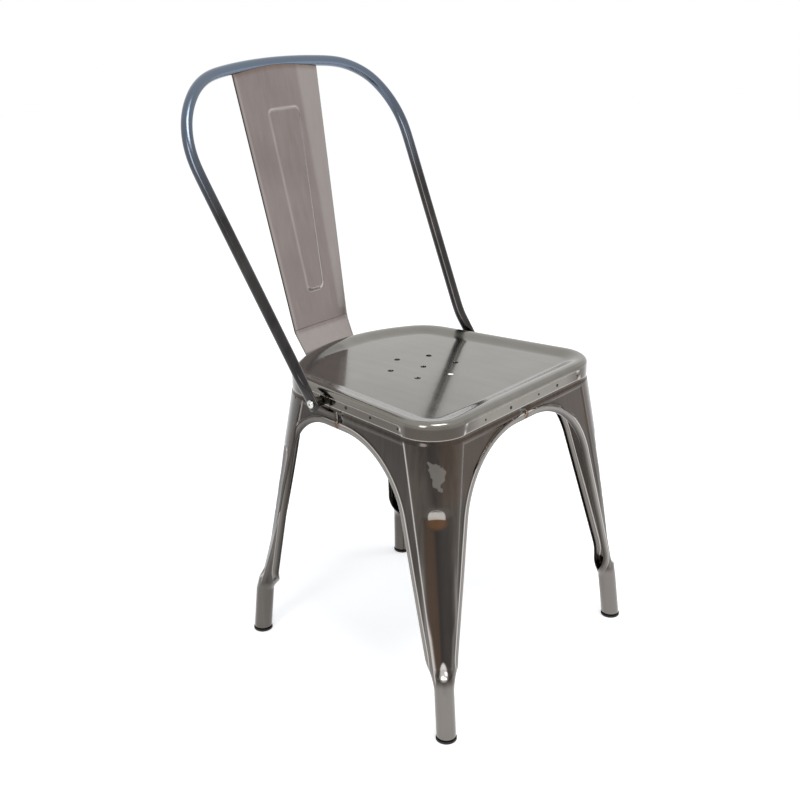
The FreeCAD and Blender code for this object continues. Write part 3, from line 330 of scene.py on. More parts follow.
def column_runs(half, far):
    """Arc lengths from the middle of the corner to the start of the bead."""
    scale = min(1.0, (far - half) / 12.0)
    runs = [half * t for t in CORNER_STEPS] + [half + c * scale for c in CREASE_STEPS]
    last = runs[-1]
    return runs + [mix(last, far, i / PANEL_COLUMNS) for i in range(1, PANEL_COLUMNS + 1)]


def face_levels(which, rear, edge):
    """Of each row: its height at the corner, its far end and, along the arch, the edge's own place."""
    seam, apex = ARCHES[(which, rear)][0], ARCHES[(which, rear)][4]
    low = TONGUE_ROWS[-1]
    levels = [(z, (seam, z), None) for z in TONGUE_ROWS]
    levels += [(mix(low, NET_TOP, q), (seam, mix(low, apex + STRIP, q)), None) for q in (0.33, 0.66)]
    for i, (s, z, ns, nz) in enumerate(edge):
        q = i / (ARCH_ROWS - 1)
        levels.append((mix(NET_TOP, KNEE_HIGH, q ** 1.05), (s + ns * STRIP, z + nz * STRIP), (s, z, ns, nz)))
    return levels


print("columns per half", len(column_runs(30, 120)) + len(BEAD), "rows above the knee",
      len(face_levels("front", False, arch_edge("front", False, ARCH_ROWS))))

# %% [markdown]
# Below the knee both flanges curl until they meet behind the corner, which makes the round foot. The curl
# grows from nothing to the foot's own radius, and the bead fades out on the way.

# %% Knee and foot
def curled(o, run, roll):
    """Point and direction of the section while its flanges curl; roll goes from 0 to 1."""
    if abs(run) <= o["half"]:
        return place(o, run)
    side = 1 if run > 0 else -1
    curl = max(1e-6, roll / FOOT_ROUND)
    first = o["mid"] + side * o["half"] / o["radius"]
    hub = on_arc(o["centre"], o["radius"] - 1 / curl, first)[0]
    return on_arc(hub, 1 / curl, first + side * (abs(run) - o["half"]) * curl)


def knee_half(which, rear, last):
    """Rows from the start of the curl down to the lower edge of the foot."""
    side = -1 if which == "front" else 1
    rake = math.radians(ARCHES[(which, rear)][3])
    heights = [mix(KNEE_HIGH, KNEE_LOW, i / 24) for i in range(1, 25)]
    heights += [mix(KNEE_LOW, FOOT_LOW, i / 16) for i in range(1, 17)]
    rows = []
    for z in heights:
        roll = smooth((KNEE_HIGH - z) / (KNEE_HIGH - KNEE_LOW))
        o = outline(rear, z)
        flat = abs(run_at(which, o, last[0] + (KNEE_HIGH - z) * math.tan(rake)))
        far = mix(flat, FOOT_ROUND * math.pi - 1.5 * GAP, roll)
        line = []
        for run in column_runs(o["half"], far - STRIP):
            point = pushed(curled(o, side * run, roll), flute_depth(o, run, z), z)
            line.append((point, *face_marks(o, side * run, z, 0)))
        rolled = face_marks(o, 99, z, 0)
        for from_edge, sink, sheen in BEAD:
            point = pushed(curled(o, side * (far - from_edge), roll), (sink or 0) * (1 - roll), z)
            line.append((point, *(mix(e, f, roll) for e, f in zip(bead_marks(from_edge, sheen), rolled))))
        rows.append(line)
    return rows


print("knee rows", len(knee_half("front", False, arch_edge("front", False, 4)[-1])))

# %% [markdown]
# The next cell walks over the net of one face and writes each point with its marks. Rows on the arch end in
# the bead. Its first columns lie a little deeper where the panel beside them carries more painted shade, so
# that both meet.

# %% Half of a leg
def face_point(which, rear, along, z, depth):
    """Point on a face at a distance from the middle, pushed in by a depth."""
    o = outline(rear, z)
    return pushed(place(o, run_at(which, o, along)), depth, z)


def leg_half(which, rear):
    """Rows of points with their marks on one side of the corner."""
    side, axis = (-1, 0) if which == "front" else (1, 1)
    seam = ARCHES[(which, rear)][0]
    edge = arch_edge(which, rear, ARCH_ROWS)
    rows = []
    for mid, (along, end_z), rim in face_levels(which, rear, edge):
        far = abs(run_at(which, outline(rear, end_z), along))
        line = []
        for run in column_runs(outline(rear, mid)["half"], far):
            z = mix(mid, end_z, (run / far) ** 2)
            o = outline(rear, z)
            spot = place(o, side * run)
            hollow = panel_depth(o, which, rear, spot[0][axis], run, z)
            point = pushed(spot, hollow + flute_depth(o, run, z), z)
            line.append((point, *face_marks(o, side * run, z, hollow)))
        if rim:
            s, z, ns, nz = rim
            # The painted shade of the panel's last column also sinks the bead's first columns
            painted_shade = line[-1][1]
            for from_edge, sink, sheen in BEAD:
                at, up = s + ns * from_edge, z + nz * from_edge
                sink = painted_shade * 0.75 if sink is None else sink + painted_shade * max(0, (from_edge - 9) / 3)
                point = face_point(which, rear, at, up, sink)
                line.append((point, *bead_marks(from_edge, sheen, abs(at - seam))))
        rows.append(line)
    return rows + knee_half(which, rear, edge[-1])


print("one point", [round(v, 2) for v in face_point("front", False, 60, 395, 0)])

# %% [markdown]
# A mesh is made from points and faces, with the marks as a colour on its points. Legs also carry their
# place on the flattened corner, which the finish uses for small shapes with crisp edges. Doubles are
# merged, and a Solidify modifier gives the skin the thickness of the sheet, on its inner side.

# %% Mesh from rows
def new_piece(name, verts, faces, marks, spread=None):
    mesh = bpy.data.meshes.new(name)
    mesh.from_pydata(verts, [], faces)
    layer = mesh.color_attributes.new("marks", "FLOAT_COLOR", "POINT")
    for item, mark in zip(layer.data, marks):
        item.color = (*mark, 1.0)
    if spread:
        store(mesh, "spread", spread)
    work = bmesh.new()
    work.from_mesh(mesh)
    bmesh.ops.remove_doubles(work, verts=work.verts, dist=2e-6)
    work.to_mesh(mesh)
    work.free()
    mesh.shade_smooth()
    piece = new_object(name, mesh)
    solid = piece.modifiers.new("sheet", "SOLIDIFY")
    solid.thickness = SHEET / 1000
    solid.offset = -1
    return piece


print("sheet", SHEET, "mm")

# %% [markdown]
# Both halves of a leg share the middle column and become one mesh, in which the rows above the arch stop
# where the bead begins. The other corners are mirrored by their coordinates, and the faces are turned so
# that they look outwards. The pale patch is on one leg only, and the rear legs get half the painted
# highlight of the front ones.

# %% Legs
PATCH_OFF = 40.0
LEGS = {"leg_front_right": (False, False), "leg_front_left": (False, True),
        "leg_rear_right": (True, False), "leg_rear_left": (True, True)}


def unrolled(p, rear, plain):
    """Distance from the middle of the corner, height, and a value that is high where no patch is painted."""
    o = outline(rear, p[2])
    way = math.atan2(p[0] - o["centre"][0], p[1] - o["centre"][1])
    return (way - o["mid"]) * o["radius"], p[2], PATCH_OFF if plain else -PATCH_OFF


def leg_piece(rear, left, name):
    sx, sy = (1 if left else -1), (1 if rear else -1)
    verts, marks, faces, spread, rows = [], [], [], [], []
    for front_row, side_row in zip(leg_half("front", rear), leg_half("side", rear)):
        row = []
        for point, painted_shade, painted_highlight, heat in front_row[::-1] + side_row[1:]:
            row.append(len(verts))
            verts.append(metres((point[0] * sx, point[1] * sy, point[2])))
            # Rear legs get half the painted highlight
            marks.append((painted_shade, painted_highlight * (0.5 if rear else 1.0), heat))
            spread.append(unrolled(point, rear, rear or left))
        rows.append((row, len(front_row) - 1))
    for (one, mid_one), (two, mid_two) in zip(rows, rows[1:]):
        low = min(mid_one, mid_two)
        high = min(len(one) - mid_one, len(two) - mid_two)
        for k in range(-low, high - 1):
            quad = (one[mid_one + k], one[mid_one + k + 1], two[mid_two + k + 1], two[mid_two + k])
            faces.append(quad if sx * sy > 0 else quad[::-1])
    return new_piece(name, verts, faces, marks, spread)


legs = {}
for node_name, (rear, left) in LEGS.items():
    legs[node_name] = leg_piece(rear, left, "pressed_" + node_name)
    print(node_name, len(legs[node_name].data.polygons), "faces")

# %% [markdown]
# The seat is one deep pressing: a skirt, a rounded rim, a narrow flat border and a shallow dish. It is
# built from rings of the outline, each set in a little further. Between the corners the skirt is set back a
# little, where the legs are spot-welded behind it.

# %% Seat rings
FRONT_STEPS = [0, 0.15, 0.3, 0.45, 0.6, 0.72, 0.8, 0.85, 0.88, 0.91, 0.94, 0.97]
SIDE_STEPS = [0, 0.015, 0.03, 0.045, 0.06, 0.08, 0.1, 0.13] + [0.13 + 0.74 * i / 16 for i in range(1, 17)]
SIDE_STEPS += [0.9, 0.92, 0.94, 0.955, 0.97, 0.985]
ROUND_STEPS, REAR_STEPS = [i / 16 for i in range(16)], [i / 12 for i in range(13)]
RECESS, RIM_ROUND, DISH_START, DISH_WIDE = 1.3, 7, 8.5, 27.5
SKIRT = [(0, z) for z in (SKIRT_LOW, 412.5, 414.5, 417, 419.5, 421.5, 422.6, 423.2, 423.8, 424.4, 425, 425.6,
                          426.2, 427)]
RIM_ANGLES = [math.radians(a) for a in range(0, 91, 9)]
RIM = [(RIM_ROUND * (1 - math.cos(a)), SEAT_TOP - RIM_ROUND * (1 - math.sin(a))) for a in RIM_ANGLES]
DISH = [(DISH_START + DISH_WIDE * i / 16, SEAT_TOP - DISH_DEEP * smooth(i / 16)) for i in range(1, 17)]
FLOOR = [(inset, SEAT_TOP - DISH_DEEP) for inset in (38, 41, 44)]
PROFILE = SKIRT + RIM + DISH + FLOOR


def arc_points(hub, radius, low, high, steps, kind):
    """Points of an arc as in seat_half; its angles count from the x axis."""
    points = []
    for t in steps:
        n = (math.cos(mix(low, high, t)), math.sin(mix(low, high, t)))
        points.append((hub[0] + n[0] * radius, hub[1] + n[1] * radius, *n, -1, kind))
    return points


def seat_half(inset):
    """The left half of the outline, front to rear, set in by some millimetres. Each point has its outward
    direction, its distance from the nearer end of a straight, and its kind."""
    side = SEAT_SIDE - inset
    front = corner_outline(TAPER, side, SEAT_FRONT - inset, FRONT_ROUND - inset, STRAIGHT - inset, False)
    rear = corner_outline(TAPER, side, SEAT_REAR - inset, REAR_ROUND - inset, REAR_BOW - inset, True)
    front_hub = (front["centre"][0], -front["centre"][1])
    front_end = front["centre"][0] + math.sin(front["turn"]) * front["radius"]
    points = [(front_end * t, -front["end"], 0, -1, front_end * (1 - t), "front") for t in FRONT_STEPS]
    bow_hub, bow_start = (0, rear["end"] - rear["bow"]), math.pi / 2 - rear["turn"]
    points += arc_points(front_hub, front["radius"], -math.pi / 2, TAPER, ROUND_STEPS, "corner")
    a = arc_points(front_hub, front["radius"], 0, TAPER, [1], "side")[0]
    b = arc_points(rear["centre"], rear["radius"], 0, TAPER, [1], "side")[0]
    for t in SIDE_STEPS:
        away = math.dist(a[:2], b[:2]) * min(t, 1 - t)
        points.append((mix(a[0], b[0], t), mix(a[1], b[1], t), a[2], a[3], away, "side"))
    points += arc_points(rear["centre"], rear["radius"], TAPER, bow_start, ROUND_STEPS, "corner")
    return points + arc_points(bow_hub, rear["bow"], bow_start, math.pi / 2, REAR_STEPS, "rear")


def skirt_recess(kind, away, z):
    """Set-back of the skirt between its corners, with slanted ends."""
    if kind not in ("front", "side"):
        return 0.0
    top = 427.0 if kind == "front" else 424.5
    return RECESS * smooth((top - z) / 1.6) * smooth((away - 2 - (z - SKIRT_LOW) * 0.35) / 3.0)


print("rings", len(PROFILE), "points per half", len(seat_half(0)))

# %% [markdown]
# Each ring is closed by its mirror image, and the inner rings shrink towards the middle. The marks paint
# shade on the skirt, darkest round the corners and beside the front corners, and a painted highlight along
# the crease where it steps back and along its lower edge. A painted reflection darkens the slope of the dish
# on the sitter's right, and a little brown lies low on the skirt.

# %% Seat mesh
DRAIN_SET = 10


def seat_marks(kind, away, x, inset, z, sunk):
    """Painted shade, painted highlight and brown values of a point on the seat."""
    step = sunk / RECESS
    # Painted highlight along the crease where the skirt steps back and along its lower edge
    crease = hump(step, 0.45, 0.4) if kind != "corner" and 0 < step < 1 else 0.0
    crease = max(crease, 0.75 * (z < SKIRT_LOW + 0.5) * (inset == 0))
    # Painted shade on the skirt and rim, darkest round the corners, in a band above the front crease, beside
    # the front corners and in the set-back; a little brown lies low on the skirt
    low = smooth((433 - z) / 8) if inset < 8 else 0.0
    shade = {"corner": 0.75, "side": 0.5, "rear": 0.4, "front": 0.4 * smooth((z - 426) / 1.5)}[kind]
    near = smooth(1 - away / 45) * 0.6 if kind == "front" else 0.0
    # Painted reflection, dark, on the dish's slope on the sitter's right
    slope = 0.35 * hump(inset, 23, 9) if x < 0 else 0.0
    return min(1.0, shade + near + step * 0.12) * low + slope, crease, 0.1 * low


def seat_piece():
    verts, marks, faces, rings = [], [], [], []
    for inset, z in PROFILE:
        half = seat_half(inset)
        mirrored = [(-x, y, -nx, ny, away, kind) for x, y, nx, ny, away, kind in half[-2:0:-1]]
        ring = []
        for x, y, nx, ny, away, kind in half + mirrored:
            sunk = skirt_recess(kind, away, z) if inset == 0 else 0.0
            ring.append(len(verts))
            verts.append(metres((x - nx * sunk, y - ny * sunk, z)))
            marks.append(seat_marks(kind, away, x, inset, z, sunk))
        rings.append(ring)
    last = [verts[i].copy() for i in rings[-1]]
    middle = metres((0, DRAIN_SET, SEAT_TOP - DISH_DEEP))
    for part in (0.8, 0.6, 0.4, 0.2):
        rings.append(list(range(len(verts), len(verts) + len(last))))
        verts += [middle.lerp(p, part) for p in last]
    verts.append(middle)
    marks += [(0, 0, 0)] * (len(verts) - len(marks))
    count = len(last)
    for one, two in zip(rings, rings[1:]):
        for i in range(count):
            j = (i + 1) % count
            faces.append((one[i], one[j], two[j], two[i]))
    for i in range(count):
        faces.append((rings[-1][i], rings[-1][(i + 1) % count], len(verts) - 1))
    return new_piece("pressed_seat_pan", verts, faces, marks)


seat = seat_piece()
print("seat", len(seat.data.polygons), "faces")

# %% [markdown]
# The drain holes are punched through the finished sheet: one in the middle and six round it. A Boolean
# modifier does the punching, with a cutter of seven cylinders, and the result is kept as a plain mesh. The
# punch gives its new points white marks, so the marks round the holes are wiped afterwards.

# %% Drain holes
DRAIN_RING, DRAIN_BORE = 50.4, 9.5


def baked(piece):
    """Replaces the mesh of a piece by what its modifiers make of it."""
    graph = bpy.context.evaluated_depsgraph_get()
    shown = piece.evaluated_get(graph)
    mesh = bpy.data.meshes.new_from_object(shown, preserve_all_data_layers=True, depsgraph=graph)
    piece.modifiers.clear()
    piece.data = mesh
    return piece


cutter_work = bmesh.new()
for k in range(7):
    ring = 0 if k == 0 else DRAIN_RING
    way = math.radians(90 + 60 * k)
    spot = metres((ring * math.cos(way), DRAIN_SET + ring * math.sin(way), SEAT_TOP - DISH_DEEP))
    bmesh.ops.create_cone(cutter_work, cap_ends=True, segments=40, radius1=DRAIN_BORE / 2000,
                          radius2=DRAIN_BORE / 2000, depth=0.02, matrix=Matrix.Translation(spot))
cutter_mesh = bpy.data.meshes.new("drain_cutter")
cutter_work.to_mesh(cutter_mesh)
cutter_work.free()
cutter = new_object("drain_cutter", cutter_mesh)
punch = seat.modifiers.new("punch", "BOOLEAN")
punch.object = cutter
punch.operation = "DIFFERENCE"
punch.solver = "EXACT"
seat = baked(seat)
bpy.data.objects.remove(cutter)
for vertex, item in zip(seat.data.vertices, seat.data.color_attributes["marks"].data):
    if vertex.co.z > 0.42 and math.hypot(vertex.co.x, vertex.co.y + (SHIFT - DRAIN_SET) / 1000) < 0.06:
        item.color = (0.0, 0.0, 0.0, 1.0)
seat.data.set_sharp_from_angle(angle=math.radians(42))
print("seat with holes", len(seat.data.polygons), "faces")

# %% [markdown]
# The back hoop is one bent tube, 16 mm thick, pressed flat at both ends where the bolts go through. Its
# middle line is a cubic curve through a few places: two straight legs that splay outwards, two tight
# corners and a wide crown. The places come from arcs, in the plane of the hoop, which then leans back and
# bows a little at the top.

# %% The line of the hoop
TUBE_HALF = 8.0
HOOP_SIDE, HOOP_BACK, HOOP_UP = 182.5, 86.0, 456.0
HOOP_LEG, HOOP_CORNER, HOOP_CROWN, HOOP_BOW = 298.5, 122.5, 746.0, 12.4
HOOP_LEAN, HOOP_SPLAY = math.radians(27.2), math.radians(6.9)
BOLT = Vector((-183, 57.5, 414.5))
# Distance past the bolt, half thickness and half width of the flattened end
FLAT_END = [(10.5, 2.5, 6.0), (10, 2.5, 8.5), (7, 2.5, 10.5), (0, 2.5, 10.0), (-8, 2.5, 10.0),
            (-15, 4.0, 9.6), (-24, 6.6, 8.8), (-36, 7.8, 8.1)]


def hoop_half():
    """Middle line in the plane of the hoop, from the bend above the seat to the crown."""
    end = (HOOP_SIDE + HOOP_LEG * math.sin(HOOP_SPLAY), HOOP_LEG * math.cos(HOOP_SPLAY))
    hub = (end[0] - HOOP_CORNER * math.cos(HOOP_SPLAY), end[1] + HOOP_CORNER * math.sin(HOOP_SPLAY))
    low = hub[1] - math.sqrt((HOOP_CROWN - HOOP_CORNER) ** 2 - hub[0] ** 2)
    meet = math.atan2(hub[1] - low, hub[0])
    points = [(mix(HOOP_SIDE, end[0], i / 9), end[1] * i / 9) for i in range(10)]
    for i in range(1, 11):
        a = mix(-HOOP_SPLAY, meet, i / 10)
        points.append((hub[0] + HOOP_CORNER * math.cos(a), hub[1] + HOOP_CORNER * math.sin(a)))
    for i in range(1, 7):
        a = mix(meet, math.pi / 2, i / 6)
        points.append((HOOP_CROWN * math.cos(a), low + HOOP_CROWN * math.sin(a)))
    return points


def hoop_places():
    """Places of the whole hoop with half thickness and half width, from the right bolt to the left."""
    half = hoop_half()
    right = []
    for x, s in half:
        bow = HOOP_BOW * (s / half[-1][1]) ** 2 * max(0.0, 1 - (x / HOOP_SIDE) ** 2)
        right.append(Vector((-x, HOOP_BACK + s * math.sin(HOOP_LEAN) + bow * math.cos(HOOP_LEAN),
                             HOOP_UP + s * math.cos(HOOP_LEAN) - bow * math.sin(HOOP_LEAN))))
    way = (BOLT - right[0]).normalized()
    line = [(BOLT + way * d, thin, wide) for d, thin, wide in FLAT_END]
    line += [(p, TUBE_HALF, TUBE_HALF) for p in right]
    return line + [(Vector((-p.x, p.y, p.z)), thin, wide) for p, thin, wide in line[-2::-1]]


def cubic(values, steps):
    """Smooth cubic run through a list of control values, as the solid model's tube uses."""
    padded = [values[0]] * 2 + list(values) + [values[-1]] * 2
    out = []
    for a, b, c, d in zip(padded, padded[1:], padded[2:], padded[3:]):
        for k in range(steps):
            t = k / steps
            out.append((a * (1 - t) ** 3 + b * (3 * t ** 3 - 6 * t * t + 4)
                        + c * (-3 * t ** 3 + 3 * t * t + 3 * t + 1) + d * t ** 3) / 6)
    return out + [padded[-1]]


places = hoop_places()
hoop_line, hoop_thin, hoop_wide = (cubic(values, 5) for values in zip(*places))
hoop_top = [p for p in cubic([p for p, thin, wide in places], 16) if p.z > 800]
print("hoop line", len(hoop_line), "places, top at", round(max(p.z for p in hoop_line), 1), "mm")

# %% [markdown]
# A Geometry Nodes tree turns such a line into a tube: the line becomes a curve, a circle is swept along it,
# and the result is squeezed towards the line by two values stored on the points. The same tree serves any
# bent tube. Three helpers start a tree with named inputs, end it with real geometry and a finish, and run
# it on a piece.

# %% Tube tree
def start_tree(name, **inputs):
    """A new Geometry Nodes tree and its input node; inputs are names and kinds of socket."""
    tree = bpy.data.node_groups.new(name, "GeometryNodeTree")
    for way in ("INPUT", "OUTPUT"):
        tree.interface.new_socket("Geometry", in_out=way, socket_type="NodeSocketGeometry")
    for label, kind in inputs.items():
        tree.interface.new_socket(label, in_out="INPUT", socket_type="NodeSocket" + kind)
    return tree, add(tree, "NodeGroupInput")


def end_tree(tree, given, geometry):
    """Ends a tree in plain geometry with the finish that was given to it."""
    real = add(tree, "GeometryNodeRealizeInstances", [(geometry, "Geometry")])
    coat = add(tree, "GeometryNodeSetMaterial", [(real, "Geometry"), (given.outputs["Finish"], "Material")])
    add(tree, "NodeGroupOutput", [(coat, 0)])
    print(tree.name, "tree", len(tree.nodes), "nodes")


def apply_tree(piece, tree, **inputs):
    """Runs a tree on a piece with inputs given by name, and keeps the result as a plain mesh."""
    modifier = piece.modifiers.new(tree.name, "NODES")
    modifier.node_group = tree
    for item in tree.interface.items_tree:
        if item.in_out == "INPUT" and item.name in inputs:
            modifier[item.identifier] = inputs[item.name]
    return baked(piece)


tube_tree, given = start_tree("bent_tube", Radius="Float", Sides="Int", Finish="Material")
curve = add(tube_tree, "GeometryNodeMeshToCurve", [(given, "Mesh")])
ring = add(tube_tree, "GeometryNodeCurvePrimitiveCircle", [(given.outputs["Radius"], "Radius"),
                                                           (given.outputs["Sides"], "Resolution")])
swept = add(tube_tree, "GeometryNodeCurveToMesh", [(curve, "Curve"), (ring, "Profile Curve")], Fill_Caps=True)
spot = add(tube_tree, "GeometryNodeInputPosition")
core, narrow = (add(tube_tree, "GeometryNodeInputNamedAttribute", data_type="FLOAT_VECTOR", Name=label)
                for label in ("core", "squeeze"))
arm = add(tube_tree, "ShaderNodeVectorMath", [(spot, 0), (core, 1)], operation="SUBTRACT")
squeezed = add(tube_tree, "ShaderNodeVectorMath", [(arm, 0), (narrow, 1)], operation="MULTIPLY")
back = add(tube_tree, "ShaderNodeVectorMath", [(squeezed, 0), (core, 1)], operation="ADD")
moved = add(tube_tree, "GeometryNodeSetPosition", [(swept, "Geometry"), (back, "Position")])
end_tree(tube_tree, given, moved)

# %% [markdown]
# The splat is a narrow sheet, wider at the top, bent forward at its foot to lie on the seat's rear edge. It
# is a net again: rows up the sheet and columns across. A long panel is pressed out of its middle, whose
# height follows from the distance to a rounded trapezoid. The sheet ends where it meets the hoop.

# %% Shape of the splat
SPLAT_FOOT, SPLAT_BEND, SPLAT_TOP = Vector((192.0, 418.0)), Vector((212.4, 454.7)), Vector((290.2, 838.0))
FOOT_HALF, BEND_HALF, TOP_HALF, HOOP_HALF = 54.0, 58.7, 87.0, 84.0
BEND_ROUND, EDGE_ROLL, EDGE_WIDE = 36.0, 1.3, 3.2
BOSS_LOW, BOSS_HIGH, BOSS_ROUND, BOSS_RAISE = 509.0, 779.0, 9.0, 1.7
BOSS_LOW_HALF, BOSS_HIGH_HALF = 17.4, 32.5
RISE = (SPLAT_TOP - SPLAT_BEND).normalized()
TAIL = (SPLAT_BEND - SPLAT_FOOT).normalized()
RISE_OUT, TAIL_OUT = Vector((-RISE.y, RISE.x)), Vector((-TAIL.y, TAIL.x))


def splat_place(s):
    """Place (back, height) and forward direction at the length s from the foot. The bend is rounded, and the
    straight part above it starts at the bend's own corner, so it overlaps the end of the arc by cut_back."""
    corner = math.acos(max(-1, min(1, TAIL.dot(RISE))))
    cut_back = BEND_ROUND * math.tan(corner / 2)
    before = (SPLAT_BEND - SPLAT_FOOT).length - cut_back
    if s < before:
        return SPLAT_FOOT + TAIL * s, TAIL_OUT
    if s < before + BEND_ROUND * corner:
        a = (s - before) / BEND_ROUND
        way = TAIL_OUT * math.cos(a) - TAIL * math.sin(a)
        return SPLAT_BEND - TAIL * cut_back + TAIL_OUT * BEND_ROUND - way * BEND_ROUND, way
    return SPLAT_BEND + RISE * (s - before - BEND_ROUND * corner), RISE_OUT


def splat_half(z):
    if z < SPLAT_BEND.y:
        return mix(FOOT_HALF, BEND_HALF, (z - SPLAT_FOOT.y) / (SPLAT_BEND.y - SPLAT_FOOT.y))
    return mix(BEND_HALF, TOP_HALF, (z - SPLAT_BEND.y) / (SPLAT_TOP.y - SPLAT_BEND.y))


def boss_height(x, z):
    """Height of the pressed panel above the sheet."""
    half = mix(BOSS_LOW_HALF, BOSS_HIGH_HALF, (z - BOSS_LOW) / (BOSS_HIGH - BOSS_LOW))
    qx = abs(x) - half + BOSS_ROUND
    qz = abs(z - (BOSS_LOW + BOSS_HIGH) / 2) - (BOSS_HIGH - BOSS_LOW) / 2 + BOSS_ROUND
    away = math.hypot(max(qx, 0), max(qz, 0)) + min(max(qx, qz), 0) - BOSS_ROUND
    return BOSS_RAISE * smooth((2.0 - away) / 6.0)


def meets_hoop(x):
    """Length at which the sheet at x touches the hoop tube."""
    for step in range(1600, 1900):
        (back, up), way = splat_place(step / 4)
        if min((Vector((x, back, up)) - p).length for p in hoop_top) < TUBE_HALF + 0.2:
            return step / 4
    return 400.0


print("the splat meets the hoop after", meets_hoop(0), "mm, and at its side after", meets_hoop(80), "mm")

# %% [markdown]
# The net of the splat follows that line. Its side edges roll back a little, which stiffens the sheet; the
# marks paint a line of shade along each edge and a highlight beside it. The slope round the panel gets a
# painted highlight, strongest at its rounded ends.

# %% Splat mesh
def splat_marks(x, up, from_edge, from_top):
    """Painted shade along the edge, painted highlights on the slopes, the sitter's left part, the foot and
    beside the edge, and heat beside the hoop.
    """
    # Painted highlights: the slopes round the panel, strongest at its ends, the sitter's left part of the
    # sheet, the foot, and a strip beside the edge
    slope = 1 - abs(boss_height(x, up) / BOSS_RAISE * 2 - 1)
    ends = max(smooth((518 - up) / 5), smooth((up - 772) / 6))
    left_part = 0.25 * smooth((x - 38) / 9) * smooth((up - 468) / 6)
    foot = 0.3 * smooth((456 - up) / 6)
    light = max(left_part, foot, slope * mix(0.42, 0.95, ends), 0.3 * hump(from_edge, 4.5, 1.8))
    # Red is the painted shade along the rolled edge
    return smooth((1.9 - from_edge) / 1.2), light, smooth((10 - from_top) / 10) * 0.5


def splat_piece():
    edge = [1, 0.988, 0.975, 0.96, 0.945, 0.93, 0.91, 0.88, 0.84]
    across = [-t for t in edge] + [-0.8 + 1.6 * i / 70 for i in range(71)] + edge[::-1]
    tops = [meets_hoop(HOOP_HALF * t) for t in across]
    rows, wide = 190, len(across)
    verts, marks, faces = [], [], []
    for i in range(rows + 1):
        for t, top in zip(across, tops):
            s = top * i / rows
            (back, up), way = splat_place(s)
            x = t * splat_half(up)
            from_edge = (1 - abs(t)) * splat_half(up)
            lift = boss_height(x, up) - EDGE_ROLL * (1 - min(1.0, from_edge / EDGE_WIDE)) ** 2
            verts.append(metres((x, back + way.x * lift, up + way.y * lift)))
            marks.append(splat_marks(x, up, from_edge, top - s))
    for i in range(rows):
        for k in range(i * wide, i * wide + wide - 1):
            faces.append((k, k + 1, k + 1 + wide, k + wide))
    return new_piece("pressed_back_splat", verts, faces, marks)


splat = splat_piece()
print("splat", len(splat.data.polygons), "faces")

# %% [markdown]
# Spot welds leave a row of small burnt dimples on the skirt. They repeat, so a Geometry Nodes tree sets one
# small disc on each point of a list, turned to the surface by a direction stored on the point. The seed is
# fixed, so that the sizes of the discs are the same each time.

# %% Spot weld tree
dot_tree, given = start_tree("spot_welds", Radius="Float", Depth="Float", Finish="Material")
dot = add(dot_tree, "GeometryNodeMeshCylinder", [(given.outputs["Radius"], "Radius"),
                                                 (given.outputs["Depth"], "Depth")], Vertices=14)
facing = add(dot_tree, "GeometryNodeInputNamedAttribute", data_type="FLOAT_VECTOR", Name="facing")
turn = add(dot_tree, "FunctionNodeAlignRotationToVector", [(facing, "Vector")], axis="Z")
sizes = add(dot_tree, "FunctionNodeRandomValue", at=[(2, 0.75), (3, 1.2)], data_type="FLOAT", Seed=4)
dots = add(dot_tree, "GeometryNodeInstanceOnPoints", [(given, "Points"), (dot, "Instance"),
                                                      (turn, "Rotation"), (sizes.outputs[1], "Scale")])
end_tree(dot_tree, given, dots)

# %% [markdown]
# The butt welds between the legs are short beads of overlapping drops. The tree below resamples a line into
# evenly spaced points and puts a drop on each, with a fixed seed for their sizes.

# %% Weld bead tree
bead_tree, given = start_tree("weld_bead", Pitch="Float", Drop="Float", Finish="Material")
curve = add(bead_tree, "GeometryNodeMeshToCurve", [(given, "Mesh")])
even = add(bead_tree, "GeometryNodeResampleCurve", [(curve, "Curve"), (given.outputs["Pitch"], "Length")],
           mode="LENGTH")
drop = add(bead_tree, "GeometryNodeMeshIcoSphere", [(given.outputs["Drop"], "Radius")], Subdivisions=2)
sizes = add(bead_tree, "FunctionNodeRandomValue", at=[(2, 0.7), (3, 1.25)], data_type="FLOAT", Seed=9)
drops = add(bead_tree, "GeometryNodeInstanceOnPoints", [(even, "Points"), (drop, "Instance"),
                                                        (sizes.outputs[1], "Scale")])
end_tree(bead_tree, given, drops)

# %% [markdown]
# One leg has a pale patch with a torn edge above the flute, and the steep ramp at the top of each flute gets
# a painted highlight. Both have crisp edges, too fine for vertex colours, so the shader draws them from the
# place on the flattened corner: an ellipse that is cut off below, and a shape bounded by straight lines whose
# edge is torn by noise of about 9 mm.

# %% Pale patch and painted highlight on the ramp
# Corners of the patch, clockwise: distance from the middle of the corner and height
PATCH = [(7, 391), (9, 366), (-2, 346), (-8, 346), (-15, 371), (-12, 385), (-2, 384)]


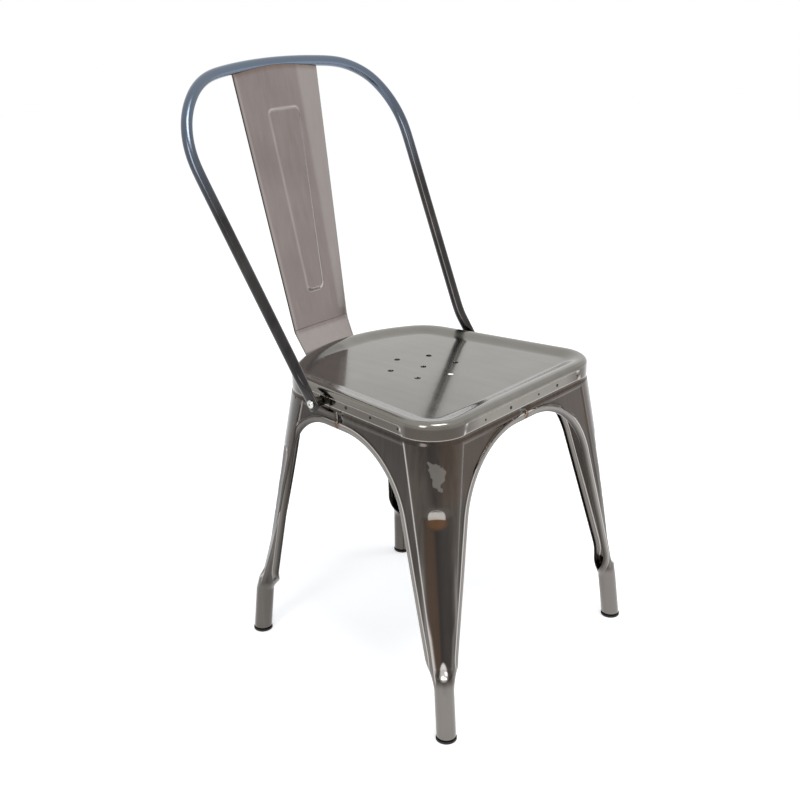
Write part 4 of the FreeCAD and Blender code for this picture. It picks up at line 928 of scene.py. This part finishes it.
def ramp_highlight_and_pale_patch(tree):
    """An amount that is high in the painted highlight on the ramp and in the pale patch."""
    spread = add(tree, "ShaderNodeAttribute", attribute_name="spread").outputs["Vector"]
    axes = add(tree, "ShaderNodeSeparateXYZ", [(spread, "Vector")])
    arm = add(tree, "ShaderNodeVectorMath", [(spread, 0)], [(1, (0, 309, 0))], operation="SUBTRACT")
    flat = add(tree, "ShaderNodeVectorMath", [(arm, 0)], [(1, (1 / 13.2, 1 / 13, 0))], operation="MULTIPLY")
    away = add(tree, "ShaderNodeVectorMath", [(flat, 0)], operation="LENGTH")
    # The painted highlight on the ramp at the top of the flute, cut off below
    disc = add(tree, "ShaderNodeMapRange", [(away.outputs["Value"], "Value")], From_Min=1.06, From_Max=0.94)
    above = add(tree, "ShaderNodeMapRange", [(axes.outputs["Y"], "Value")], From_Min=305.6, From_Max=307.0)
    disc = add(tree, "ShaderNodeMath", [(disc, 0), (above, 1)], operation="MULTIPLY")
    disc = add(tree, "ShaderNodeMath", [(disc, 0)], [(1, 0.5)], operation="MULTIPLY")
    farthest = axes.outputs["Z"]
    for (ax, ay), (bx, by) in zip(PATCH, PATCH[1:] + PATCH[:1]):
        n = Vector((ay - by, bx - ax, 0)).normalized()
        dot = add(tree, "ShaderNodeVectorMath", [(spread, 0)], [(1, n)], operation="DOT_PRODUCT")
        past = add(tree, "ShaderNodeMath", [(dot.outputs["Value"], 0)], [(1, n.x * ax + n.y * ay)],
                   operation="SUBTRACT")
        farthest = add(tree, "ShaderNodeMath", [(past, 0), (farthest, 1)], operation="MAXIMUM")
    noise = add(tree, "ShaderNodeTexNoise", [(spread, "Vector")], Scale=0.11, Detail=3.0)
    torn = add(tree, "ShaderNodeMath", [(noise, 0), (farthest, 2)], [(1, 14.0)], operation="MULTIPLY_ADD")
    patch = add(tree, "ShaderNodeMapRange", [(torn, "Value")], From_Min=6.8, From_Max=5.6)
    patch = add(tree, "ShaderNodeMath", [(patch, 0)], [(1, 0.18)], operation="MULTIPLY")
    return add(tree, "ShaderNodeMath", [(disc, 0), (patch, 1)], operation="MAXIMUM")


print("patch of", len(PATCH), "corners")

# %% [markdown]
# The chair is raw cold-rolled steel, polished by hand and sealed with clear lacquer. The metal gives the
# soft grey reflection, the lacquer a thin sharp gloss on top. The marks lay painted shade in the hollows and
# painted highlights on the creases and beads, and heat leaves straw and brown near the welds, drawn as one
# brown, which also lies round the flutes. One function makes the steels of this chair, which differ in gloss
# and in the direction of the polishing strokes; their colours are lighter and darker copies of one steel,
# which paint the light and shade of each part. Real strokes are about 0.1 mm wide, too fine to show, so they
# are drawn as streaks 6 to 25 mm apart with finer ones between. Clouds of about 90 mm stand for uneven polish
# and ripples of about 40 mm for the waviness of the sheet. Each layer of colour is laid over the ones before
# it. A mix node takes its colours at its inputs 6 and 7 and gives the result at its output 2.

# %% Lacquered steel
# Colours of the painted shade, the painted highlights, the brown tint, and the pale patch with the ramp's
# painted highlight
SHADE_COLOUR, HIGHLIGHT_COLOUR, HEAT_TINT, PALE_PATCH_AND_HIGHLIGHT = "1d1714", "c4bfba", "5e3d1c", "c6c2bc"


def new_finish(name, **values):
    """A new material with its node tree and its main shader, some of whose own sockets are set."""
    material = bpy.data.materials.new(name)
    material.use_nodes = True
    shader = material.node_tree.nodes["Principled BSDF"]
    for label, value in values.items():
        shader.inputs[label.replace("_", " ")].default_value = value
    return material, material.node_tree, shader


def lacquered_steel(name, light, dark, streaks, rough, wave=0.25, top_tint=None, pressed=False):
    """Streaks are polishing streaks per metre along x, y and z, and wave is the strength of the ripples."""
    material, tree, shader = new_finish(name, Metallic=1.0, Coat_Weight=0.4, Coat_Roughness=0.06)
    where = add(tree, "ShaderNodeTexCoord").outputs["Object"]
    scaled = add(tree, "ShaderNodeMapping", [(where, "Vector")], Scale=streaks)
    strokes = add(tree, "ShaderNodeTexNoise", [(scaled, "Vector")], Scale=1.0, Detail=5.0, Roughness=0.6)
    clouds = add(tree, "ShaderNodeTexNoise", [(where, "Vector")], Scale=11.0, Detail=2.0)
    both = add(tree, "ShaderNodeMath", [(strokes, 0), (clouds, 1)], operation="ADD")
    uneven = add(tree, "ShaderNodeMapRange", [(both, "Value")], From_Min=0.72, From_Max=1.28)
    tone = add(tree, "ShaderNodeMix", [(uneven, 0)], [(6, linear(dark)), (7, linear(light))],
               data_type="RGBA")
    mark = add(tree, "ShaderNodeAttribute", attribute_name="marks")
    split = add(tree, "ShaderNodeSeparateColor", [(mark.outputs["Color"], 0)])
    # Red lays painted shade, green painted highlights and blue brown
    layers = list(zip(split.outputs, (SHADE_COLOUR, HIGHLIGHT_COLOUR, HEAT_TINT)))
    if top_tint:
        axes = add(tree, "ShaderNodeSeparateXYZ", [(where, "Vector")])
        height = add(tree, "ShaderNodeMapRange", [(axes.outputs["Z"], "Value")], From_Min=0.66, From_Max=0.84)
        layers.insert(0, (height, top_tint))
    if pressed:
        # Painted highlight on the ramps and the pale patch
        layers.append((ramp_highlight_and_pale_patch(tree), PALE_PATCH_AND_HIGHLIGHT))
    for amount, colour in layers:
        tone = add(tree, "ShaderNodeMix", [(amount, 0), (tone.outputs[2], 6)], [(7, linear(colour))],
                   data_type="RGBA")
    tree.links.new(tone.outputs[2], shader.inputs["Base Color"])
    gloss = add(tree, "ShaderNodeMapRange", [(strokes, "Value")], To_Min=rough - 0.04, To_Max=rough + 0.06)
    tree.links.new(gloss.outputs[0], shader.inputs["Roughness"])
    ripples = add(tree, "ShaderNodeTexNoise", [(where, "Vector")], Scale=24.0, Detail=1.0)
    bump = add(tree, "ShaderNodeBump", [(ripples, "Height")], Strength=wave, Distance=0.0012)
    tree.links.new(bump.outputs[0], shader.inputs["Normal"])
    return material


# Each part gets its own light and dark tone of the same steel, as painted light and shade: the seat and the
# splat lighter, the legs, the tube and the flat bars darker
seat_steel = lacquered_steel("lacquered_raw_steel_seat", "85827c", "7a7770", (60, 7, 60), 0.13, wave=0.08)
leg_steel = lacquered_steel("lacquered_raw_steel_legs", "463f38", "2f2924", (160, 160, 4), 0.2, pressed=True)
# The tube is painted a lighter blue grey towards its top
hoop_steel = lacquered_steel("lacquered_raw_steel_tube", "3a3735", "242223", (40, 120, 12), 0.2,
                             top_tint="647080")
splat_steel = lacquered_steel("lacquered_raw_steel_splat", "8d8280", "827875", (120, 120, 5), 0.18, wave=0.1)
bar_steel = lacquered_steel("lacquered_flat_bar", "5c5853", "45413d", (80, 80, 80), 0.34)
print("steels", [m.name for m in bpy.data.materials if m.name.startswith("lacquered")])

# %% [markdown]
# The small things have their own finishes. Bright zinc plate on the bolts mirrors the room in a cool white.
# The moulded rubber under the feet is matt and nearly black, burnt scale on the spot welds is dull and
# brown, and weld metal is a lighter grey than the sheet round it. Each has a mottle of 1.5 to 3 mm, coarser
# than the real grain.

# %% Small finishes
def mottled(name, light, dark, grain, rough, metallic):
    """Finish with a mottled colour; grain is the pattern's size in millimetres."""
    material, tree, shader = new_finish(name, Metallic=metallic, Roughness=rough)
    where = add(tree, "ShaderNodeTexCoord").outputs["Object"]
    speckle = add(tree, "ShaderNodeTexNoise", [(where, "Vector")], Scale=1000 / grain, Detail=3.0)
    tone = add(tree, "ShaderNodeMix", [(speckle, 0)], [(6, linear(dark)), (7, linear(light))],
               data_type="RGBA")
    tree.links.new(tone.outputs[2], shader.inputs["Base Color"])
    bump = add(tree, "ShaderNodeBump", [(speckle, "Height")], Strength=0.3, Distance=0.0003)
    tree.links.new(bump.outputs[0], shader.inputs["Normal"])
    return material


zinc = mottled("bright_zinc_plate", "e4e4e0", "b4b4b0", 3.0, 0.22, 1.0)
rubber = mottled("black_moulded_rubber", "161414", "0b0a0a", 2.0, 0.62, 0.0)
weld_scale = mottled("burnt_weld_scale", "2a221c", "14100d", 1.5, 0.5, 0.6)
weld_metal = mottled("lacquered_weld_metal", "9a948b", "5a5149", 2.0, 0.28, 1.0)
print("small finishes", [m.name for m in (zinc, rubber, weld_scale, weld_metal)])

# %% [markdown]
# The hoop's line becomes a mesh of points and edges that carries, on each point, the core of the tube and
# how much it is squeezed there. The tree above does the rest.

# %% Hoop
def line_piece(name, points, **stored):
    """A piece of points and edges in a row, with vectors stored on its points."""
    mesh = bpy.data.meshes.new(name)
    mesh.from_pydata(points, [(i, i + 1) for i in range(len(points) - 1)], [])
    for label, values in stored.items():
        store(mesh, label, values)
    return new_object(name, mesh)


cores = [metres(p) for p in hoop_line]
squeezes = [(thin / TUBE_HALF, wide / TUBE_HALF, wide / TUBE_HALF)
            for thin, wide in zip(hoop_thin, hoop_wide)]
hoop = line_piece("bent_back_hoop", cores, core=cores, squeeze=squeezes)
hoop = apply_tree(hoop, tube_tree, Radius=TUBE_HALF / 1000, Sides=36, Finish=hoop_steel)
hoop.data.shade_smooth()
hoop.data.set_sharp_from_angle(angle=math.radians(50))
print("hoop", len(hoop.data.polygons), "faces")

# %% [markdown]
# The welds are placed from the same outline. Spot welds sit on the set-back part of the skirt. The beads
# close the seams between the legs, from the arch up towards the skirt.

# %% Weld places
SPOTS_FRONT, SPOTS_SIDE = (-134, -90, -33, 33, 79, 131), (-101, -47, 3, 30)
BEAD_TOP, SIDE_BEAD_LOW = 404.0, 392.0

spots, facings = [], []
for x in SPOTS_FRONT:
    spots.append(metres((x, RECESS - SEAT_FRONT, 418.0)))
    facings.append(Vector((0, -1, 0)))
for sign in (-1, 1):
    for y in SPOTS_SIDE:
        x = (SEAT_SIDE - RECESS - y * math.sin(TAPER)) / math.cos(TAPER)
        spots.append(metres((sign * x, y, 418.5)))
        facings.append(Vector((sign * math.cos(TAPER), math.sin(TAPER), 0)))
welds = line_piece("spot_weld_marks", spots, facing=facings)
welds = apply_tree(welds, dot_tree, Radius=0.0021, Depth=0.0005, Finish=weld_scale)

seams = []
for rear in (False, True):
    low = ARCHES[("front", rear)][4] + 10
    heights = [mix(BEAD_TOP, low, i / 4) for i in range(5)]
    seams.append([metres((0, outline(rear, z)["end"] * (1 if rear else -1), z)) for z in heights])
for sign in (-1, 1):
    seam = []
    for z in [mix(BEAD_TOP, SIDE_BEAD_LOW, i / 4) for i in range(5)]:
        o = outline(True, z)
        (x, y), n = place(o, run_at("side", o, SIDE_SEAM))
        x -= panel_depth(o, "side", True, SIDE_SEAM + 0.2, 99, z)
        seam.append(metres((sign * x, SIDE_SEAM, z)))
    seams.append(seam)
beads = []
for i, seam in enumerate(seams):
    bead = apply_tree(line_piece("weld_bead_%d" % (i + 1), seam), bead_tree, Pitch=0.0015, Drop=0.0012,
                      Finish=weld_metal)
    bead.data.shade_smooth()
    beads.append(bead)
print("spot welds", len(spots), "beads", len(beads))

# %% [markdown]
# Every piece now gets its finish and is tied to the frame: it rides on the chair's one body and hides the
# plain solid it stands for. The small solids keep their CAD shape and only get a finish.

# %% Finishes and ties
def tie(piece, material, slot_name, *nodes):
    """Gives a piece its finish, unless its tree did so already, and ties it to the frame."""
    if material:
        piece.data.materials.clear()
        piece.data.materials.append(material)
    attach(piece, "root")
    if nodes:
        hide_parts(*nodes)


for node_name, piece in legs.items():
    tie(piece, leg_steel, "leg_steel", node_name)
tie(seat, seat_steel, "seat_steel", "seat_pan")
tie(splat, splat_steel, "splat_steel", "back_splat")
tie(hoop, None, "hoop_steel", "back_hoop")
for piece in [welds] + beads:
    tie(piece, None, "leg_steel")

# The spacer and the washer take the darker flat-bar steel, as painted shade beside the hoop's end
SMALL = {"foot_plug": rubber, "hoop_bolt": zinc, "hoop_nut": zinc, "brace_rivet": zinc,
         "hoop_spacer": bar_steel, "hoop_washer": bar_steel, "brace_lower": bar_steel,
         "brace_upper": bar_steel}
for name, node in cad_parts.items():
    for start, finish in SMALL.items():
        if name.startswith(start):
            node.data.materials.clear()
            node.data.materials.append(finish)
print("tied", len(legs) + 4 + len(beads), "pieces")

# %% [markdown]
# The studio is a plain pale floor under a soft, even light. The camera, mirrors and glass see a plain white
# world and a bright floor, while the light that falls on the chair stays moderate. A large lamp stands to
# the left, a smaller one to the right, and one overhead, so that rounded steel shows long soft highlights.

# %% Studio
LAMP_AIM, FLOOR_GLOW, FLOOR_HALF = Vector((0, 0, 0.4)), 0.42, 6


def lamp(name, spot, size, power, mirrored):
    """A rectangular softbox that is turned to the chair's middle; mirrored says whether steel reflects it."""
    data = bpy.data.lights.new(name, "AREA")
    data.shape = "RECTANGLE"
    data.size, data.size_y = size
    data.energy = power
    item = new_object(name, data)
    item.location = spot
    item.visible_glossy = mirrored
    item.rotation_euler = (LAMP_AIM - Vector(spot)).to_track_quat("-Z", "Y").to_euler()


def seen_directly(tree):
    """A value that is 1 for rays from the camera, from a mirror or through glass, and else 0."""
    path = add(tree, "ShaderNodeLightPath").outputs
    seen = path["Is Camera Ray"]
    for ray in ("Is Glossy Ray", "Is Transmission Ray"):
        seen = add(tree, "ShaderNodeMath", [(seen, 0), (path[ray], 1)], operation="MAXIMUM")
    return seen


lamp("left_softbox", (-2.6, -0.6, 1.9), (0.8, 1.6), 22, True)
lamp("right_softbox", (2.2, -1.6, 1.6), (1.2, 2.0), 16, False)
lamp("top_softbox", (-0.3, -1.0, 2.7), (1.2, 0.8), 26, True)

world = bpy.data.worlds.new("studio")
bpy.context.scene.world = world
world.use_nodes = True
tree = world.node_tree
tree.nodes.clear()
soft = add(tree, "ShaderNodeBackground", Color=(0.8, 0.82, 0.85, 1), Strength=0.75)
white = add(tree, "ShaderNodeBackground", Color=(1, 1, 1, 1), Strength=1.0)
chosen = add(tree, "ShaderNodeMixShader", [(seen_directly(tree), 0), (soft, 1), (white, 2)])
add(tree, "ShaderNodeOutputWorld", [(chosen, "Surface")])

floor_mesh = bpy.data.meshes.new("floor")
corners = [(x * FLOOR_HALF, y * FLOOR_HALF, 0) for x, y in ((-1, -1), (1, -1), (1, 1), (-1, 1))]
floor_mesh.from_pydata(corners, [], [(0, 1, 2, 3)])
floor = new_object("floor", floor_mesh)
paper, tree, shader = new_finish("white_paper_floor", Base_Color=(0.9, 0.9, 0.9, 1), Roughness=0.9,
                                 Emission_Color=(1, 1, 1, 1))
glow = add(tree, "ShaderNodeMath", [(seen_directly(tree), 0)], [(1, FLOOR_GLOW)], operation="MULTIPLY")
tree.links.new(glow.outputs[0], shader.inputs["Emission Strength"])
floor_mesh.materials.append(paper)
print("lamps", len(bpy.data.lights))

# %% [markdown]
# The camera stands where the photograph was taken from: in front of the chair and to its right, a little
# above the seat. It was fitted to the photograph with the chair's own sizes.

# %% Camera
AZIMUTH, ELEVATION, ROLL = (math.radians(v) for v in (-49.38, 20.65, -0.72))
DISTANCE, LENS = 1652.97, 54.42
TARGET = (-110.34, -38.95, 421.06)

back_way = Vector((math.sin(AZIMUTH) * math.cos(ELEVATION), -math.cos(AZIMUTH) * math.cos(ELEVATION),
                   math.sin(ELEVATION)))
level = Vector((math.cos(AZIMUTH), math.sin(AZIMUTH), 0))
upright = back_way.cross(level)
right = level * math.cos(ROLL) + upright * math.sin(ROLL)
up = upright * math.cos(ROLL) - level * math.sin(ROLL)
camera_data = bpy.data.cameras.new("photo_camera")
camera_data.lens = LENS
camera_data.sensor_width = 36
camera_data.clip_end = 50
camera = new_object("photo_camera", camera_data)
camera.matrix_world = Matrix.Translation(metres(TARGET) + back_way * DISTANCE / 1000) @ Matrix(
    (right, up, back_way)).transposed().to_4x4()
bpy.context.scene.camera = camera
bpy.context.scene.view_settings.view_transform = "Standard"
print("camera at", [round(v, 3) for v in camera.matrix_world.translation])

# %% Last update of the scene
bpy.context.view_layer.update()
